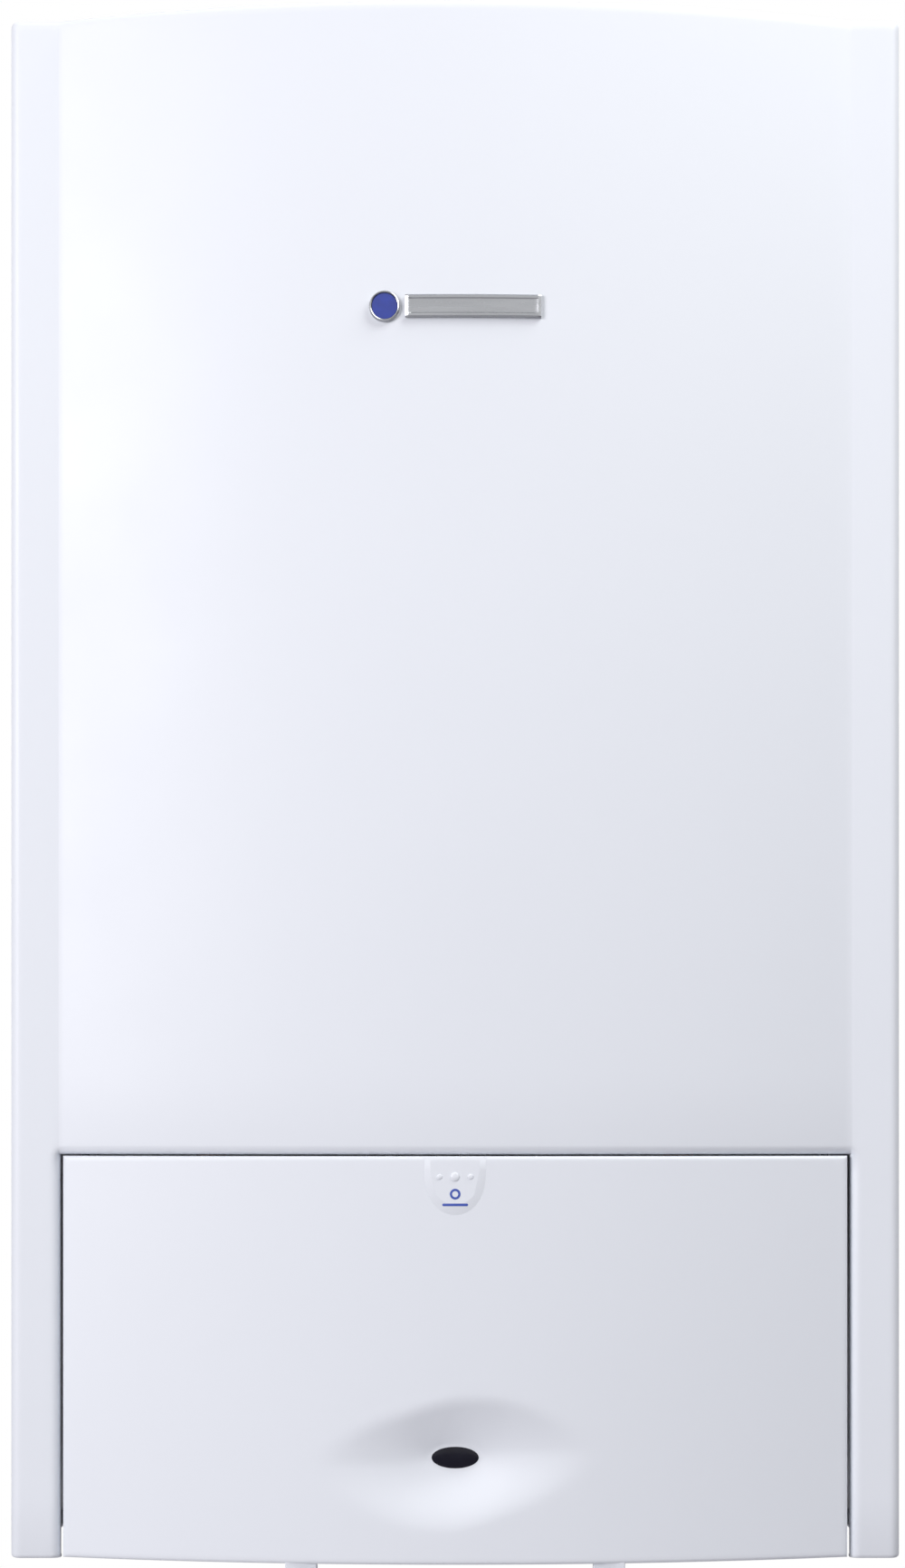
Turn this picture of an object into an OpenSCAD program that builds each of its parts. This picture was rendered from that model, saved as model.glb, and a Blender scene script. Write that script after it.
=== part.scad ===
// Wall-hung condensing gas boiler with a bowed case front and a drop-down flap.
// X runs to the right, the wall is the plane y = 0, the front faces -Y and Z is up.
// The origin is the middle of the wall bracket's line of screw holes, on the wall.
// Heights in this file are measured from the case's lower edge, and at_wall() moves them to the origin.

/* [Case] */
// Width of the case
case_w = 440; // [436:1:446]
// Height of the case
case_h = 760; // [758:1:790]
// Depth of the case from the wall to its flat strips
case_d = 330; // [328:1:345]
// How far the middle of the front bows out past the flat strips
bow = 30; // [26:1:40]
// Thickness of the case's sheet
sheet = 1.2; // [0.8:0.1:1.6]
// Width of the flat strip on each side of the bowed panel
strip_w = 24.3; // [23:0.1:25]
// Radius of the case's upright front corners
corner_r = 5; // [3:0.5:8]
// Height of the opening that the flap fills
opening_h = 199.8; // [199:0.1:210]
// Depth of the rolled edge round the flap opening
rolled_edge = 8; // [5:0.5:9]
// Width of the flange round the case's top
top_flange = 20; // [14:1:24]
// Width of the flange under the case's strips and sides
bottom_flange = 10; // [8:1:11]
// Distance from the wall to the case's rear edge
case_back = 16; // [12:1:20]
// Radius of the captive screws under the case
case_screw_r = 2.5; // [2:0.1:3]
// Radius of the case screws' heads
case_screw_head_r = 4.2; // [3.5:0.1:4.4]

/* [Badge] */
// Width of the badge bar
badge_w = 66; // [50:1:80]
// Height of the badge bar
badge_h = 11; // [8:0.5:14]
// How far the badge bar stands out
badge_t = 2.5; // [1.5:0.1:3]
// Radius of the badge disc
badge_disc_r = 7.5; // [6:0.5:8]
// Gap between the disc and the bar
badge_gap = 2.5; // [1:0.5:5]
// Height of the badge above the case's lower edge
badge_up = 611; // [560:1:650]

/* [Flap] */
// Gap between the flap's side edge and the case
flap_side_gap = 1.8; // [1.2:0.1:3]
// Gap above the flap
flap_top_gap = 0.8; // [0.6:0.1:2]
// Height of the flap's lower edge above the case's lower edge
flap_low = 0.7; // [0.3:0.1:1.5]
// Thickness of the flap's moulding
flap_wall = 2.5; // [2:0.1:3]
// Depth of the rim round the flap's rear
flap_rim = 5; // [4:0.5:5.5]
// Depth of the dish in the flap
dish_depth = 9; // [6:0.5:11]
// Width of the dish
dish_w = 130; // [100:1:150]
// Height of the dish
dish_h = 60; // [50:1:70]
// Height of the dish's middle above the case's lower edge
dish_up = 52; // [48:1:70]
// Width of the indicator lens
lens_w = 23; // [18:0.5:28]
// Height of the indicator lens
lens_h = 10.6; // [8:0.2:12]
// Width of the push pad
pad_w = 30; // [24:1:36]
// Height of the push pad
pad_h = 29; // [24:1:36]
// Thickness of the push pad
pad_t = 0.4; // [0.3:0.1:0.8]
// Radius of the push pad's middle dot
pad_dot_r = 2.2; // [1.5:0.1:3]
// Distance between the push pad's dots
pad_dot_pitch = 7.5; // [6:0.1:9]

/* [Flap hinge] */
// Distance of each hinge arm from the middle
hinge_x = 75; // [60:1:90]
// Width of each hinge arm
hinge_arm_w = 15.5; // [12:0.5:20]
// Thickness of each hinge arm
hinge_arm_t = 4.2; // [3.5:0.1:5]
// Radius of the hinge pins
hinge_pin_r = 2; // [1.5:0.1:2.2]
// Outer radius of the hinge knuckles
knuckle_r = 4; // [3.5:0.1:4.5]
// Width of the control box's hinge ears, which the flap's arms enclose
ear_w = 6; // [5:0.5:7]
// Outer radius of the hinge ears
ear_r = 2.9; // [2.7:0.1:3]
// Running clearance of shafts and pins in their holes
run_gap = 0.05; // [0.02:0.01:0.08]
// Distance from the bow's foremost line back to the hinge axis
hinge_behind = 9.5; // [9:0.5:10.5]
// Depth of the hinge axis below the case's lower edge
hinge_drop = 3.6; // [3.6:0.1:4.2]

/* [Control box] */
// Gap between the case's side and the control box
box_side_gap = 33; // [32:1:37]
// Distance from the wall to the facia's front
facia_front = 315; // [313:1:317]
// Thickness of the facia
facia_t = 3; // [2:0.5:4]
// Depth of the control box behind the facia
box_depth = 90; // [80:1:94]
// Height of the control box's lower face
box_low = 6; // [4:0.5:8]
// Height of the control box's upper face
box_top = 190; // [186:1:192]
// Wall of the control box
box_wall = 2.5; // [2:0.1:3]
// Size of the slope at the box's upper rear corner
box_slope = 30; // [26:1:36]
// Distance from the facia's front to the box's swing axis
swing_back = 10; // [8:0.5:12]
// Height of the swing axis
swing_up = 14; // [13:0.5:16]
// Radius of the swing pivots
swing_pin_r = 4; // [3:0.5:4.5]
// Thickness of the support arms
arm_t = 3; // [2:0.5:3.5]

/* [Controls] */
// Radius of the two knobs
knob_r = 22; // [16:1:24]
// Length of the knobs in front of the facia
knob_l = 15; // [10:1:16]
// Radius of the knobs' shafts
knob_shaft_r = 3; // [2.5:0.1:4]
// Distance from the control box's side to the heating knob's middle
knob_inset = 75; // [66:1:80]
// Distance between the two knobs
knob_pitch = 64; // [52:1:70]
// Height of the knobs, switch and gauge
controls_up = 105; // [95:1:115]
// Width of the rocker switch
rocker_w = 14; // [12:0.5:16]
// Height of the rocker switch
rocker_h = 21; // [18:0.5:24]
// Distance from the control box's side to the rocker switch's middle
rocker_inset = 22; // [16:1:26]
// Radius of the push buttons
button_r = 6; // [4:0.5:7]
// Travel of the push buttons
button_travel = 1.5; // [1:0.1:2]
// Distance of the reset button from the middle
reset_x = 30; // [24:1:34]
// Distance of the eco button from the middle
eco_x = 68; // [60:1:76]
// How far the buttons lie below the display
button_drop = 30; // [26:1:34]
// Width of the display window
window_w = 58; // [46:1:66]
// Height of the display window
window_h = 26; // [20:1:32]
// Radius of the pressure gauge's bezel
gauge_r = 24; // [20:1:26]
// Distance from the control box's side to the pressure gauge's middle
gauge_inset = 47; // [40:1:52]
// Radius of the light pipe behind the lens
light_pipe_r = 4; // [3:0.5:5]
// Radius of the latch plunger
plunger_r = 4; // [3:0.5:5]
// Travel of the latch plunger
plunger_travel = 3; // [2:0.5:4]
// Thickness of the circuit board
board_t = 1.6; // [1.2:0.1:2.4]

/* [Chassis] */
// Depth of the wall bracket's screw line below the case's top
rail_drop = 60; // [55:1:70]
// Length of the wall bracket
rail_w = 360; // [300:1:400]
// Height of the wall bracket
rail_h = 40; // [36:1:50]
// Thickness of the wall bracket and its hook
rail_t = 2; // [1.5:0.1:2.5]
// Distance between the wall bracket's screw holes
rail_pitch = 300; // [240:1:340]
// Radius of the wall bracket's screw holes
rail_hole_r = 4.5; // [3.5:0.1:5.5]
// Distance from the wall to the back panel
standoff = 10; // [9:0.5:11]
// Thickness of the chassis sheet
frame_t = 1.2; // [1:0.1:1.6]
// Distance from the case's side to the back frame
frame_side_gap = 6; // [5:0.5:7]
// Depth of the back frame's flanges
frame_flange = 26; // [20:1:30]
// Height of the back frame's lower edge
frame_low = 8; // [6:0.5:9]
// Distance from the case's top to the top plate's upper face
top_plate_drop = 6.8; // [6:0.1:8]
// Height of the connection plate's lower face
plate_low = 10; // [9.5:0.5:12]
// Thickness of the connection plate
plate_t = 2; // [1.5:0.1:2.5]
// Depth of the connection plate
plate_depth = 104; // [98:1:110]
// Radius of the rubber wall buffers
buffer_r = 11; // [8:1:14]

/* [Pipe tails] */
// Distance between neighbouring pipe tails
tail_pitch = 65; // [62:1:66]
// Distance from the wall to the pipe tails
tail_y = 45; // [44:0.5:48]
// Radius of the heating and gas tails
big_tail_r = 11; // [9:0.5:11]
// Radius of the water tails
small_tail_r = 7.5; // [6:0.5:7.5]
// Wall of the pipes
pipe_wall = 1; // [0.7:0.1:1.5]
// How far the tails reach below the case
tail_drop = 25; // [20:1:28]
// Clearance of a tail in the connection plate
tail_gap = 1.5; // [1:0.1:2]
// Radius of the isolation valves' bodies
valve_r = 15; // [13.5:0.5:15.5]
// Height of the isolation valves' upper face
valve_top = 50; // [48:1:54]
// Length of the isolation valves' levers
lever_l = 34; // [28:1:38]
// Width of the levers
lever_w = 8; // [6:0.5:10]
// Thickness of the levers
lever_t = 3; // [2:0.5:4]
// Radius of the levers' spindles
spindle_r = 3; // [2.5:0.1:4]

/* [Heat exchanger] */
// Width of the heat exchanger
exchanger_w = 220; // [210:1:222]
// Depth of the heat exchanger
exchanger_d = 130; // [126:1:132]
// Height of the heat exchanger
exchanger_h = 260; // [256:1:262]
// Height of the heat exchanger's lower face
exchanger_low = 330; // [328:1:334]
// Distance from the wall to the heat exchanger's back
exchanger_back = 115; // [113:1:117]
// Distance of the heat exchanger's middle from the case's middle
exchanger_x = -5; // [-7:1:-3]
// Wall of the combustion chamber
chamber_wall = 20; // [16:1:24]
// Depth of the combustion chamber
chamber_depth = 110; // [100:1:130]
// Thickness of the exchanger's front cover
cover_t = 8; // [5:0.5:10]
// Thickness of the burner door
door_t = 25; // [24:0.5:26]
// Radius of the burner
burner_r = 28; // [24:1:32]
// Height of the condensate sump
sump_h = 40; // [36:1:42]

/* [Flue] */
// Distance from the wall to the flue's axis
flue_y = 135; // [133:1:137]
// Outer radius of the flue duct
flue_r = 30; // [28:0.5:30]
// Wall of the flue duct and its socket
flue_wall = 2; // [1.5:0.1:2.5]
// Bend radius of the flue duct
flue_bend = 45; // [42:1:48]
// Distance of the duct's upright run from the middle
duct_x = 150; // [148:1:152]
// Clearance between the socket and the flue pipe
socket_gap = 0.2; // [0.15:0.05:0.3]
// Height of the socket above the case's top
socket_up = 43; // [36:1:48]
// Outer radius of the air collar
collar_r = 50; // [48:1:55]
// Wall of the air collar
collar_wall = 2.5; // [2:0.1:3]
// Height of the air collar above the case's top
collar_up = 40; // [34:1:42]
// Radius of the adapter's flange
adapter_flange_r = 64; // [60:1:70]
// Thickness of the adapter's flange
adapter_flange_t = 3; // [2:0.5:4]

/* [Fan and gas train] */
// Outer radius of the fan housing
fan_r = 60; // [56:1:60]
// Depth of the fan housing
fan_d = 50; // [46:1:52]
// Wall of the fan housing
fan_wall = 4; // [3:0.5:5]
// Distance of the fan's axis from the middle
fan_x = -95; // [-97:1:-93]
// Gap between the top plate and the fan housing
fan_top_gap = 9; // [8:0.5:12]
// Radius of the fan's impeller
impeller_r = 48; // [40:1:49]
// Number of the impeller's blades
impeller_blades = 12; // [8:1:16]
// Radius of the fan motor
fan_motor_r = 38; // [32:1:42]
// Length of the fan motor
fan_motor_l = 46; // [40:1:50]
// Radius of the gas and air mixer
mixer_r = 30; // [27:1:31]
// Length of the mixer
mixer_l = 58; // [54:1:60]
// Length of the air intake pipe
intake_l = 52; // [46:1:54]
// Width of the gas valve
gas_valve_w = 48; // [40:1:50]
// Depth of the gas valve
gas_valve_d = 72; // [60:1:76]
// Height of the gas valve
gas_valve_h = 90; // [80:1:95]
// Height of the gas valve's lower face
gas_valve_low = 400; // [390:1:410]
// Distance from the case's side to the gas valve's axis
gas_valve_inset = 39; // [38:1:40]
// Distance from the wall to the gas valve's axis
gas_valve_y = 250; // [246:1:252]
// Radius of the upper gas pipe
upper_gas_r = 8; // [6:0.5:8.5]

/* [Water side] */
// Radius of the expansion vessel
vessel_r = 145; // [140:1:148]
// Depth of the expansion vessel
vessel_d = 78; // [70:1:80]
// Height of the expansion vessel's middle
vessel_up = 480; // [478:1:484]
// Radius of the vessel's rounded edge
vessel_edge = 22; // [15:1:30]
// Radius of the pump's volute
pump_r = 38; // [34:1:40]
// Length of the pump's volute
pump_l = 55; // [50:1:56]
// Height of the pump's axis
pump_up = 112; // [110:1:116]
// Radius of the pump motor
pump_motor_r = 42; // [38:1:44]
// Length of the pump motor
pump_motor_l = 88; // [80:1:92]
// Radius of the pump's impeller
pump_impeller_r = 27; // [24:1:28]
// Width of the plate heat exchanger
plates_w = 80; // [76:1:80]
// Depth of the plate heat exchanger
plates_d = 58; // [54:1:60]
// Height of the plate heat exchanger
plates_h = 190; // [170:1:196]
// Number of plates that show
plates_n = 20; // [10:1:24]
// Height of the plate heat exchanger's lower face
plates_low = 72; // [70:1:76]
// Radius of the heating water pipes
water_r = 9; // [7:0.5:9]
// Bend radius of the pipes
pipe_bend = 16; // [13:0.5:16]
// Travel of the diverter's stem
stem_travel = 6; // [4:0.5:7]
// Radius of the diverter's stem
stem_r = 3; // [2:0.1:4]
// Radius of the condensate trap
trap_r = 28; // [24:1:29]
// Height of the condensate trap
trap_h = 140; // [120:1:150]
// Radius of the condensate hose
hose_r = 10; // [8:0.5:10]
// Wall of the condensate hose
hose_wall = 2; // [1.5:0.1:2.5]

/* [Hidden] */
$fn = 72;

rest_gap = 0.3;          // gap of a moving piece over the face that it lies on
cut = 1;                 // how far a cutting shape runs past what it cuts
rail_z = case_h - rail_drop;
front_y = -case_d;
apex_y = -(case_d + bow);
half_opening = case_w / 2 - strip_w;
box_w = case_w - 2 * box_side_gap;
bow_r = (half_opening * half_opening + bow * bow) / (2 * bow);
bow_y = apex_y + bow_r;

facia_y = -facia_front;
box_front_y = facia_y + facia_t;
box_back_y = box_front_y + box_depth;
flap_w = 2 * (half_opening - flap_side_gap);
flap_top = opening_h - flap_top_gap;
hinge_y = apex_y + hinge_behind;
hinge_up = -hinge_drop;
swing_y = facia_y + swing_back;
ear_gap = 0.2;           // clearance of a hinge ear in the flap's arm
board_gap = 16;
board_y = box_front_y + board_gap;
striker_depth = 12;
striker_up = flap_top - 18;
latch_boss_r = 8;
plunger_free = 9.2;      // free length of the pressed plunger ahead of its boss
plunger_tip_y = apex_y + flap_wall + striker_depth + rest_gap;
latch_boss_l = facia_y - plunger_tip_y - plunger_travel - plunger_free;
heating_knob_x = -box_w / 2 + knob_inset;
hot_water_knob_x = heating_knob_x + knob_pitch;
rocker_x = -box_w / 2 + rocker_inset;
gauge_x = box_w / 2 - gauge_inset;
window_x = (reset_x + eco_x) / 2;
button_up = controls_up - button_drop;
button_out = 4;

panel_y = -(standoff + frame_t);
frame_x = case_w / 2 - frame_side_gap;
frame_top = case_h - top_plate_drop - frame_t;
plate_y = panel_y - plate_depth;
arm_x = box_w / 2 + 1;
plate_x = max(frame_x - 9, arm_x + arm_t);
flow_x = -2 * tail_pitch;
hot_x = -tail_pitch;
gas_x = 0;
cold_x = tail_pitch;
return_x = 2 * tail_pitch;
lever_y = -(tail_y + valve_r + 6);
lever_up = (plate_low + plate_t + valve_top) / 2 + 2;

exchanger_front_y = -(exchanger_back + exchanger_d);
exchanger_mid_y = -(exchanger_back + exchanger_d / 2);
exchanger_left = exchanger_x - exchanger_w / 2;
exchanger_right = exchanger_x + exchanger_w / 2;
exchanger_top = exchanger_low + exchanger_h;
door_top = exchanger_top + door_t;
bracket_t = 4;
bracket_low = exchanger_top + 4;
bracket_up = door_top - 3;
sump_low = exchanger_low - sump_h;
sump_reach = duct_x + flue_r + 6;
sump_arm_d = 2 * flue_r + 10;
burner_y = exchanger_mid_y;
burner_up = exchanger_top - burner_r - 12;
electrode_x = exchanger_right - chamber_wall - 6;

gas_valve_x = gas_valve_inset - case_w / 2;
fan_up = case_h - top_plate_drop - frame_t - fan_top_gap - fan_r;
fan_back_y = -180;
fan_front_y = fan_back_y - fan_d;
mixer_back_y = fan_back_y + mixer_l;
duct_top = frame_top - 6;
pump_y = panel_y - 9;
pump_front_y = pump_y - pump_l;
motor_front_y = pump_front_y - pump_motor_l;
block_x0 = flow_x - 20;
block_x1 = hot_x - 12;
block_y0 = -84;
block_y1 = -22;
block_top = 120;
block_step = lever_up + lever_l + 8;
plates_x1 = 20;
plates_x0 = plates_x1 - plates_w;
plates_y0 = -(62 + plates_d);
stem_x = flow_x + 34;
stem_y = -48;
diverter_low = block_top + 24;
trap_x = 72;
trap_y = -180;
trap_low = sump_low - trap_h;
relief_x = block_x0 - 18;
relief_up = 85;
relief_y = -51.5;

case_screw_y = 70;
rocker_axis_y = facia_y + 5;
hook_y = -(standoff - 2.8);
hook_up = 10;
buffer_up = 60;
hose_y = -88;
tail_collar_low = plate_low - 5;
tail_collar_h = 3;
spout_x0 = fan_x + 32;
spout_x1 = fan_x + fan_r;
spout_y0 = fan_front_y + 3;
spout_y1 = fan_back_y - 3;
socket_overlap = 6;
socket_stop = 7;
fan_shaft_r = 4;
mixer_port_x = fan_x - mixer_r - 12;
gas_in_y = fan_back_y + mixer_l / 2 + 1;
pump_port_x = return_x - pump_r - 8;
pump_shaft_r = 4;
vessel_hose_x = 60;
vessel_hose_y = -50;

case_white = [0.93, 0.94, 0.96];
box_black = [0.13, 0.13, 0.14];
steel_grey = [0.72, 0.73, 0.74];
cast_grey = [0.60, 0.61, 0.62];
brass_gold = [0.78, 0.66, 0.38];
copper_red = [0.75, 0.45, 0.32];
rubber_dark = [0.10, 0.10, 0.10];
signal_red = [0.75, 0.12, 0.10];

// Moves heights measured from the case's lower edge to the origin at the screw line
module at_wall() {
    translate([0, 0, -rail_z]) children();
}

// Box between two corners
module block(low, high) {
    translate(low) cube(high - low);
}

// Round bar that starts at a point and runs along +X
module rod_x(p, r, l) {
    translate(p) rotate([0, 90, 0]) cylinder(r = r, h = l);
}

// Round bar that starts at a point and runs along +Y
module rod_y(p, r, l) {
    translate(p) rotate([-90, 0, 0]) cylinder(r = r, h = l);
}

// Round bar that starts at a point and runs up
module rod_z(p, r, l) {
    translate(p) cylinder(r = r, h = l);
}

// Ring that starts at a point and runs up
module ring_z(p, r, bore, l) {
    translate(p) difference() {
        cylinder(r = r, h = l);
        translate([0, 0, -cut]) cylinder(r = bore, h = l + 2 * cut);
    }
}

// Direction from one point to the next
function heading(a, b) = (b - a) / norm(b - a);

// One straight stretch of a pipe between two points
module stretch(a, b, r) {
    d = heading(a, b);
    translate(a) rotate([0, acos(d[2]), atan2(d[1], d[0])]) cylinder(r = r, h = norm(b - a));
}

// Quarter bend at point p, from heading d to heading e
module quarter(p, d, e, r, bend) {
    c = p - d * bend + e * bend;
    n = cross(-e, d);
    multmatrix([
        [-e[0], d[0], n[0], c[0]],
        [-e[1], d[1], n[1], c[1]],
        [-e[2], d[2], n[2], c[2]],
        [0, 0, 0, 1]
    ]) rotate_extrude(angle = 90) translate([bend, 0]) circle(r);
}

// Solid run along square corners, with quarter bends
module run(path, r, bend) {
    last = len(path) - 1;
    for (i = [0 : last - 1]) {
        d = heading(path[i], path[i + 1]);
        a = i == 0 ? path[i] : path[i] + d * bend;
        b = i == last - 1 ? path[i + 1] : path[i + 1] - d * bend;
        stretch(a, b, r);
    }
    if (last > 1) for (i = [1 : last - 1])
        quarter(path[i], heading(path[i - 1], path[i]), heading(path[i], path[i + 1]), r, bend);
}

// The same path with both ends moved out, for the bore of a pipe
function lengthened(path) = [for (i = [0 : len(path) - 1])
    i == 0 ? path[0] - heading(path[0], path[1]) * cut
    : i == len(path) - 1 ? path[i] + heading(path[i - 1], path[i]) * cut
    : path[i]];

// Pipe along square corners
module pipe(path, r, wall, bend) {
    difference() {
        run(path, r, bend);
        run(lengthened(path), r - wall, bend);
    }
}

// Plan of the case, drawn in by inset and run back past its rear edge by extra
module case_plan(inset, extra) {
    half = case_w / 2 - inset;
    r = corner_r - inset;
    y0 = front_y + inset;
    y1 = -case_back + extra;
    if (r > 0) {
        translate([-half, y0 + r]) square([2 * half, y1 - y0 - r]);
        translate([-half + r, y0]) square([2 * (half - r), r]);
        for (side = [-1, 1]) translate([side * (half - r), y0 + r]) circle(r);
    } else translate([-half, y0]) square([2 * half, y1 - y0]);
    intersection() {
        translate([0, bow_y]) circle(bow_r - inset, $fn = 720);
        translate([-half_opening, apex_y - cut]) square([2 * half_opening, bow + cut + inset + 1]);
    }
}

// Bowed band of the flap's plan, drawn in by inset and reaching back by depth
module flap_plan(inset, depth) {
    half = flap_w / 2 - inset;
    difference() {
        intersection() {
            translate([0, bow_y]) circle(bow_r - inset, $fn = 720);
            translate([-half, apex_y - cut]) square([2 * half, bow + flap_rim + 2 * cut]);
        }
        translate([0, bow_y]) circle(bow_r - depth, $fn = 720);
    }
}

// Barrel that cuts the dish, grown by extra
module dish_barrel(extra) {
    reach = dish_h / 2;
    ahead = (reach * reach - dish_depth * dish_depth) / (2 * dish_depth);
    middle_r = ahead + dish_depth;
    half = dish_w / 2;
    drop = bow_r - sqrt(bow_r * bow_r - half * half);
    sag = dish_depth - drop;
    arc_r = (half * half + sag * sag) / (2 * sag);
    translate([0, apex_y - ahead, dish_up]) rotate([0, 90, 0]) rotate_extrude($fn = 180) intersection() {
        translate([middle_r - arc_r, 0]) circle(arc_r + extra, $fn = 720);
        translate([0, -half - extra * 3]) square([middle_r + extra + cut, 2 * (half + extra * 3)]);
    }
}

// Oval with round ends, flat in the XY plane
module slot_2d(w, h) {
    square([w - h, h], center = true);
    for (side = [-1, 1]) translate([side * (w - h) / 2, 0]) circle(h / 2);
}

// Oval bar that starts at a point and runs along +Y
module slot_y(p, w, h, l) {
    translate(p) rotate([-90, 0, 0]) linear_extrude(l) slot_2d(w, h);
}

// Bowed case front with its flat strips, sides, flanges and rolled edges
module front_case() {
    color(case_white) at_wall() difference() {
        union() {
            difference() {
                linear_extrude(case_h) case_plan(0, 0);
                translate([0, 0, -cut]) linear_extrude(case_h + 2 * cut) case_plan(sheet, cut);
            }
            translate([0, 0, case_h - sheet]) linear_extrude(sheet) difference() {
                case_plan(0, 0);
                translate([-case_w / 2 + top_flange, front_y + top_flange])
                    square([case_w - 2 * top_flange, case_d]);
            }
            linear_extrude(sheet) difference() {
                case_plan(0, 0);
                case_plan(bottom_flange, cut);
            }
            translate([0, 0, opening_h]) linear_extrude(sheet) intersection() {
                difference() {
                    case_plan(0, 0);
                    case_plan(rolled_edge, cut);
                }
                translate([-half_opening - sheet, apex_y - cut])
                    square([2 * (half_opening + sheet), bow + rolled_edge + cut]);
            }
            for (side = [0, 1]) mirror([side, 0, 0])
                block([half_opening, front_y, 0], [half_opening + sheet, front_y + rolled_edge, opening_h + sheet]);
        }
        block([-half_opening, apex_y - cut, -cut], [half_opening, front_y + bottom_flange + cut, opening_h]);
        for (side = [-1, 1]) rod_z([side * case_screw_x(), -case_screw_y, -cut], case_screw_r + rest_gap, sheet + 2 * cut);
    }
}

// Captive screws in the case's lower flanges
function case_screw_x() = case_w / 2 - bottom_flange / 2 - sheet / 2;
module case_screws() {
    head_t = 3;
    color(steel_grey) at_wall() for (side = [-1, 1]) difference() {
        translate([side * case_screw_x(), -case_screw_y, 0]) union() {
            rod_z([0, 0, -head_t], case_screw_head_r, head_t);
            rod_z([0, 0, -0.5], case_screw_r, plate_low - rest_gap + 0.5);
        }
        translate([side * case_screw_x(), -case_screw_y, -head_t - cut])
            block([-0.6, -case_screw_head_r - cut, 0], [0.6, case_screw_head_r + cut, 1.2 + cut]);
    }
}

// Plain bar on the case front
module badge_bar() {
    x0 = -badge_w / 2 + badge_disc_r + badge_gap / 2;
    color(steel_grey) at_wall() intersection() {
        difference() {
            translate([0, 0, badge_up - badge_h / 2]) linear_extrude(badge_h) translate([0, bow_y])
                circle(bow_r + badge_t, $fn = 720);
            translate([0, 0, badge_up - badge_h]) linear_extrude(2 * badge_h) translate([0, bow_y])
                circle(bow_r, $fn = 720);
        }
        block([x0, apex_y - badge_t - cut, badge_up - badge_h], [x0 + badge_w, front_y, badge_up + badge_h]);
    }
}

// Round disc beside the bar
module badge_disc() {
    x = -badge_w / 2 + badge_disc_r + badge_gap / 2 - badge_gap - badge_disc_r;
    color("royalblue") at_wall() difference() {
        rod_y([x, apex_y - badge_t, badge_up], badge_disc_r, badge_t + 4);
        translate([0, 0, badge_up - 2 * badge_disc_r]) linear_extrude(4 * badge_disc_r) translate([0, bow_y])
            circle(bow_r, $fn = 720);
    }
}

// Hinge arm of the flap, with a knuckle on each side of the slot for the control box's ear
module hinge_arm() {
    front = bow_front(hinge_x + hinge_arm_w / 2) + rest_gap;
    difference() {
        union() {
            block([hinge_x - hinge_arm_w / 2, front, hinge_up],
                [hinge_x + hinge_arm_w / 2, front + hinge_arm_t, flap_low + flap_wall / 2]);
            rod_x([hinge_x - hinge_arm_w / 2, hinge_y, hinge_up], knuckle_r, hinge_arm_w);
        }
        rod_x([hinge_x - hinge_arm_w / 2 - cut, hinge_y, hinge_up], hinge_pin_r + run_gap, hinge_arm_w + 2 * cut);
        block([hinge_x - ear_w / 2 - rest_gap, hinge_y - ear_r - ear_gap, hinge_up - knuckle_r - cut],
            [hinge_x + ear_w / 2 + rest_gap, hinge_y + knuckle_r + cut, hinge_up + ear_r + ear_gap]);
    }
}

// Y of the bowed front at a distance x from the middle
function bow_front(x) = bow_y - sqrt(bow_r * bow_r - x * x);

// Drop-down flap with its dish, lens hole and hinge arms
module flap() {
    color(case_white) at_wall() {
        difference() {
            union() {
                difference() {
                    translate([0, 0, flap_low]) linear_extrude(flap_top - flap_low) flap_plan(0, flap_rim);
                    translate([0, 0, flap_low + flap_wall]) linear_extrude(flap_top - flap_low - 2 * flap_wall)
                        flap_plan(flap_wall, flap_rim + cut);
                }
                intersection() {
                    dish_barrel(flap_wall);
                    translate([0, 0, flap_low]) linear_extrude(flap_top - flap_low)
                        flap_plan(0.2, dish_depth + flap_wall + cut);
                }
                for (side = [0, 1]) mirror([side, 0, 0]) hinge_arm();
            }
            dish_barrel(0);
            slot_y([0, apex_y - cut, dish_up], lens_w, lens_h, 2 * dish_depth + 2 * flap_wall);
        }
    }
}

// Pad at the flap's upper edge, with three raised dots
module push_pad() {
    r = pad_w / 2;
    color("whitesmoke") at_wall() {
        intersection() {
            translate([0, 0, flap_top - pad_h]) linear_extrude(pad_h) difference() {
                translate([0, bow_y]) circle(bow_r + pad_t, $fn = 720);
                translate([0, bow_y]) circle(bow_r, $fn = 720);
            }
            union() {
                block([-r, apex_y - cut, flap_top - pad_h + r], [r, front_y, flap_top]);
                rod_y([0, apex_y - cut, flap_top - pad_h + r], r, bow);
            }
        }
        for (i = [-1, 0, 1]) difference() {
            rod_y([i * pad_dot_pitch, apex_y - 2 * pad_t, flap_top - 10], i == 0 ? pad_dot_r : pad_dot_r * 0.6, 2 * pad_t);
            rod_y([i * pad_dot_pitch, apex_y - pad_t / 2, flap_top - 10], pad_dot_r + cut, 2 * pad_t);
        }
    }
}

// Dark lens in the dish
module indicator_lens() {
    face = apex_y + dish_depth;
    color(box_black) at_wall() union() {
        slot_y([0, face - 0.4, dish_up], lens_w - 0.2, lens_h - 0.2, flap_wall + 0.4);
        slot_y([0, face + flap_wall, dish_up], lens_w + 4, lens_h + 4, 1);
    }
}

// Striker plate behind the flap, which the latch meets
module flap_striker() {
    color(steel_grey) at_wall() difference() {
        block([-9, apex_y + flap_wall - 1, striker_up - 7], [9, apex_y + flap_wall + striker_depth, striker_up + 7]);
        translate([0, 0, striker_up - 8]) linear_extrude(16) difference() {
            translate([-20, apex_y - 20]) square([40, 40]);
            translate([0, bow_y]) circle(bow_r - flap_wall, $fn = 720);
        }
    }
}

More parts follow.
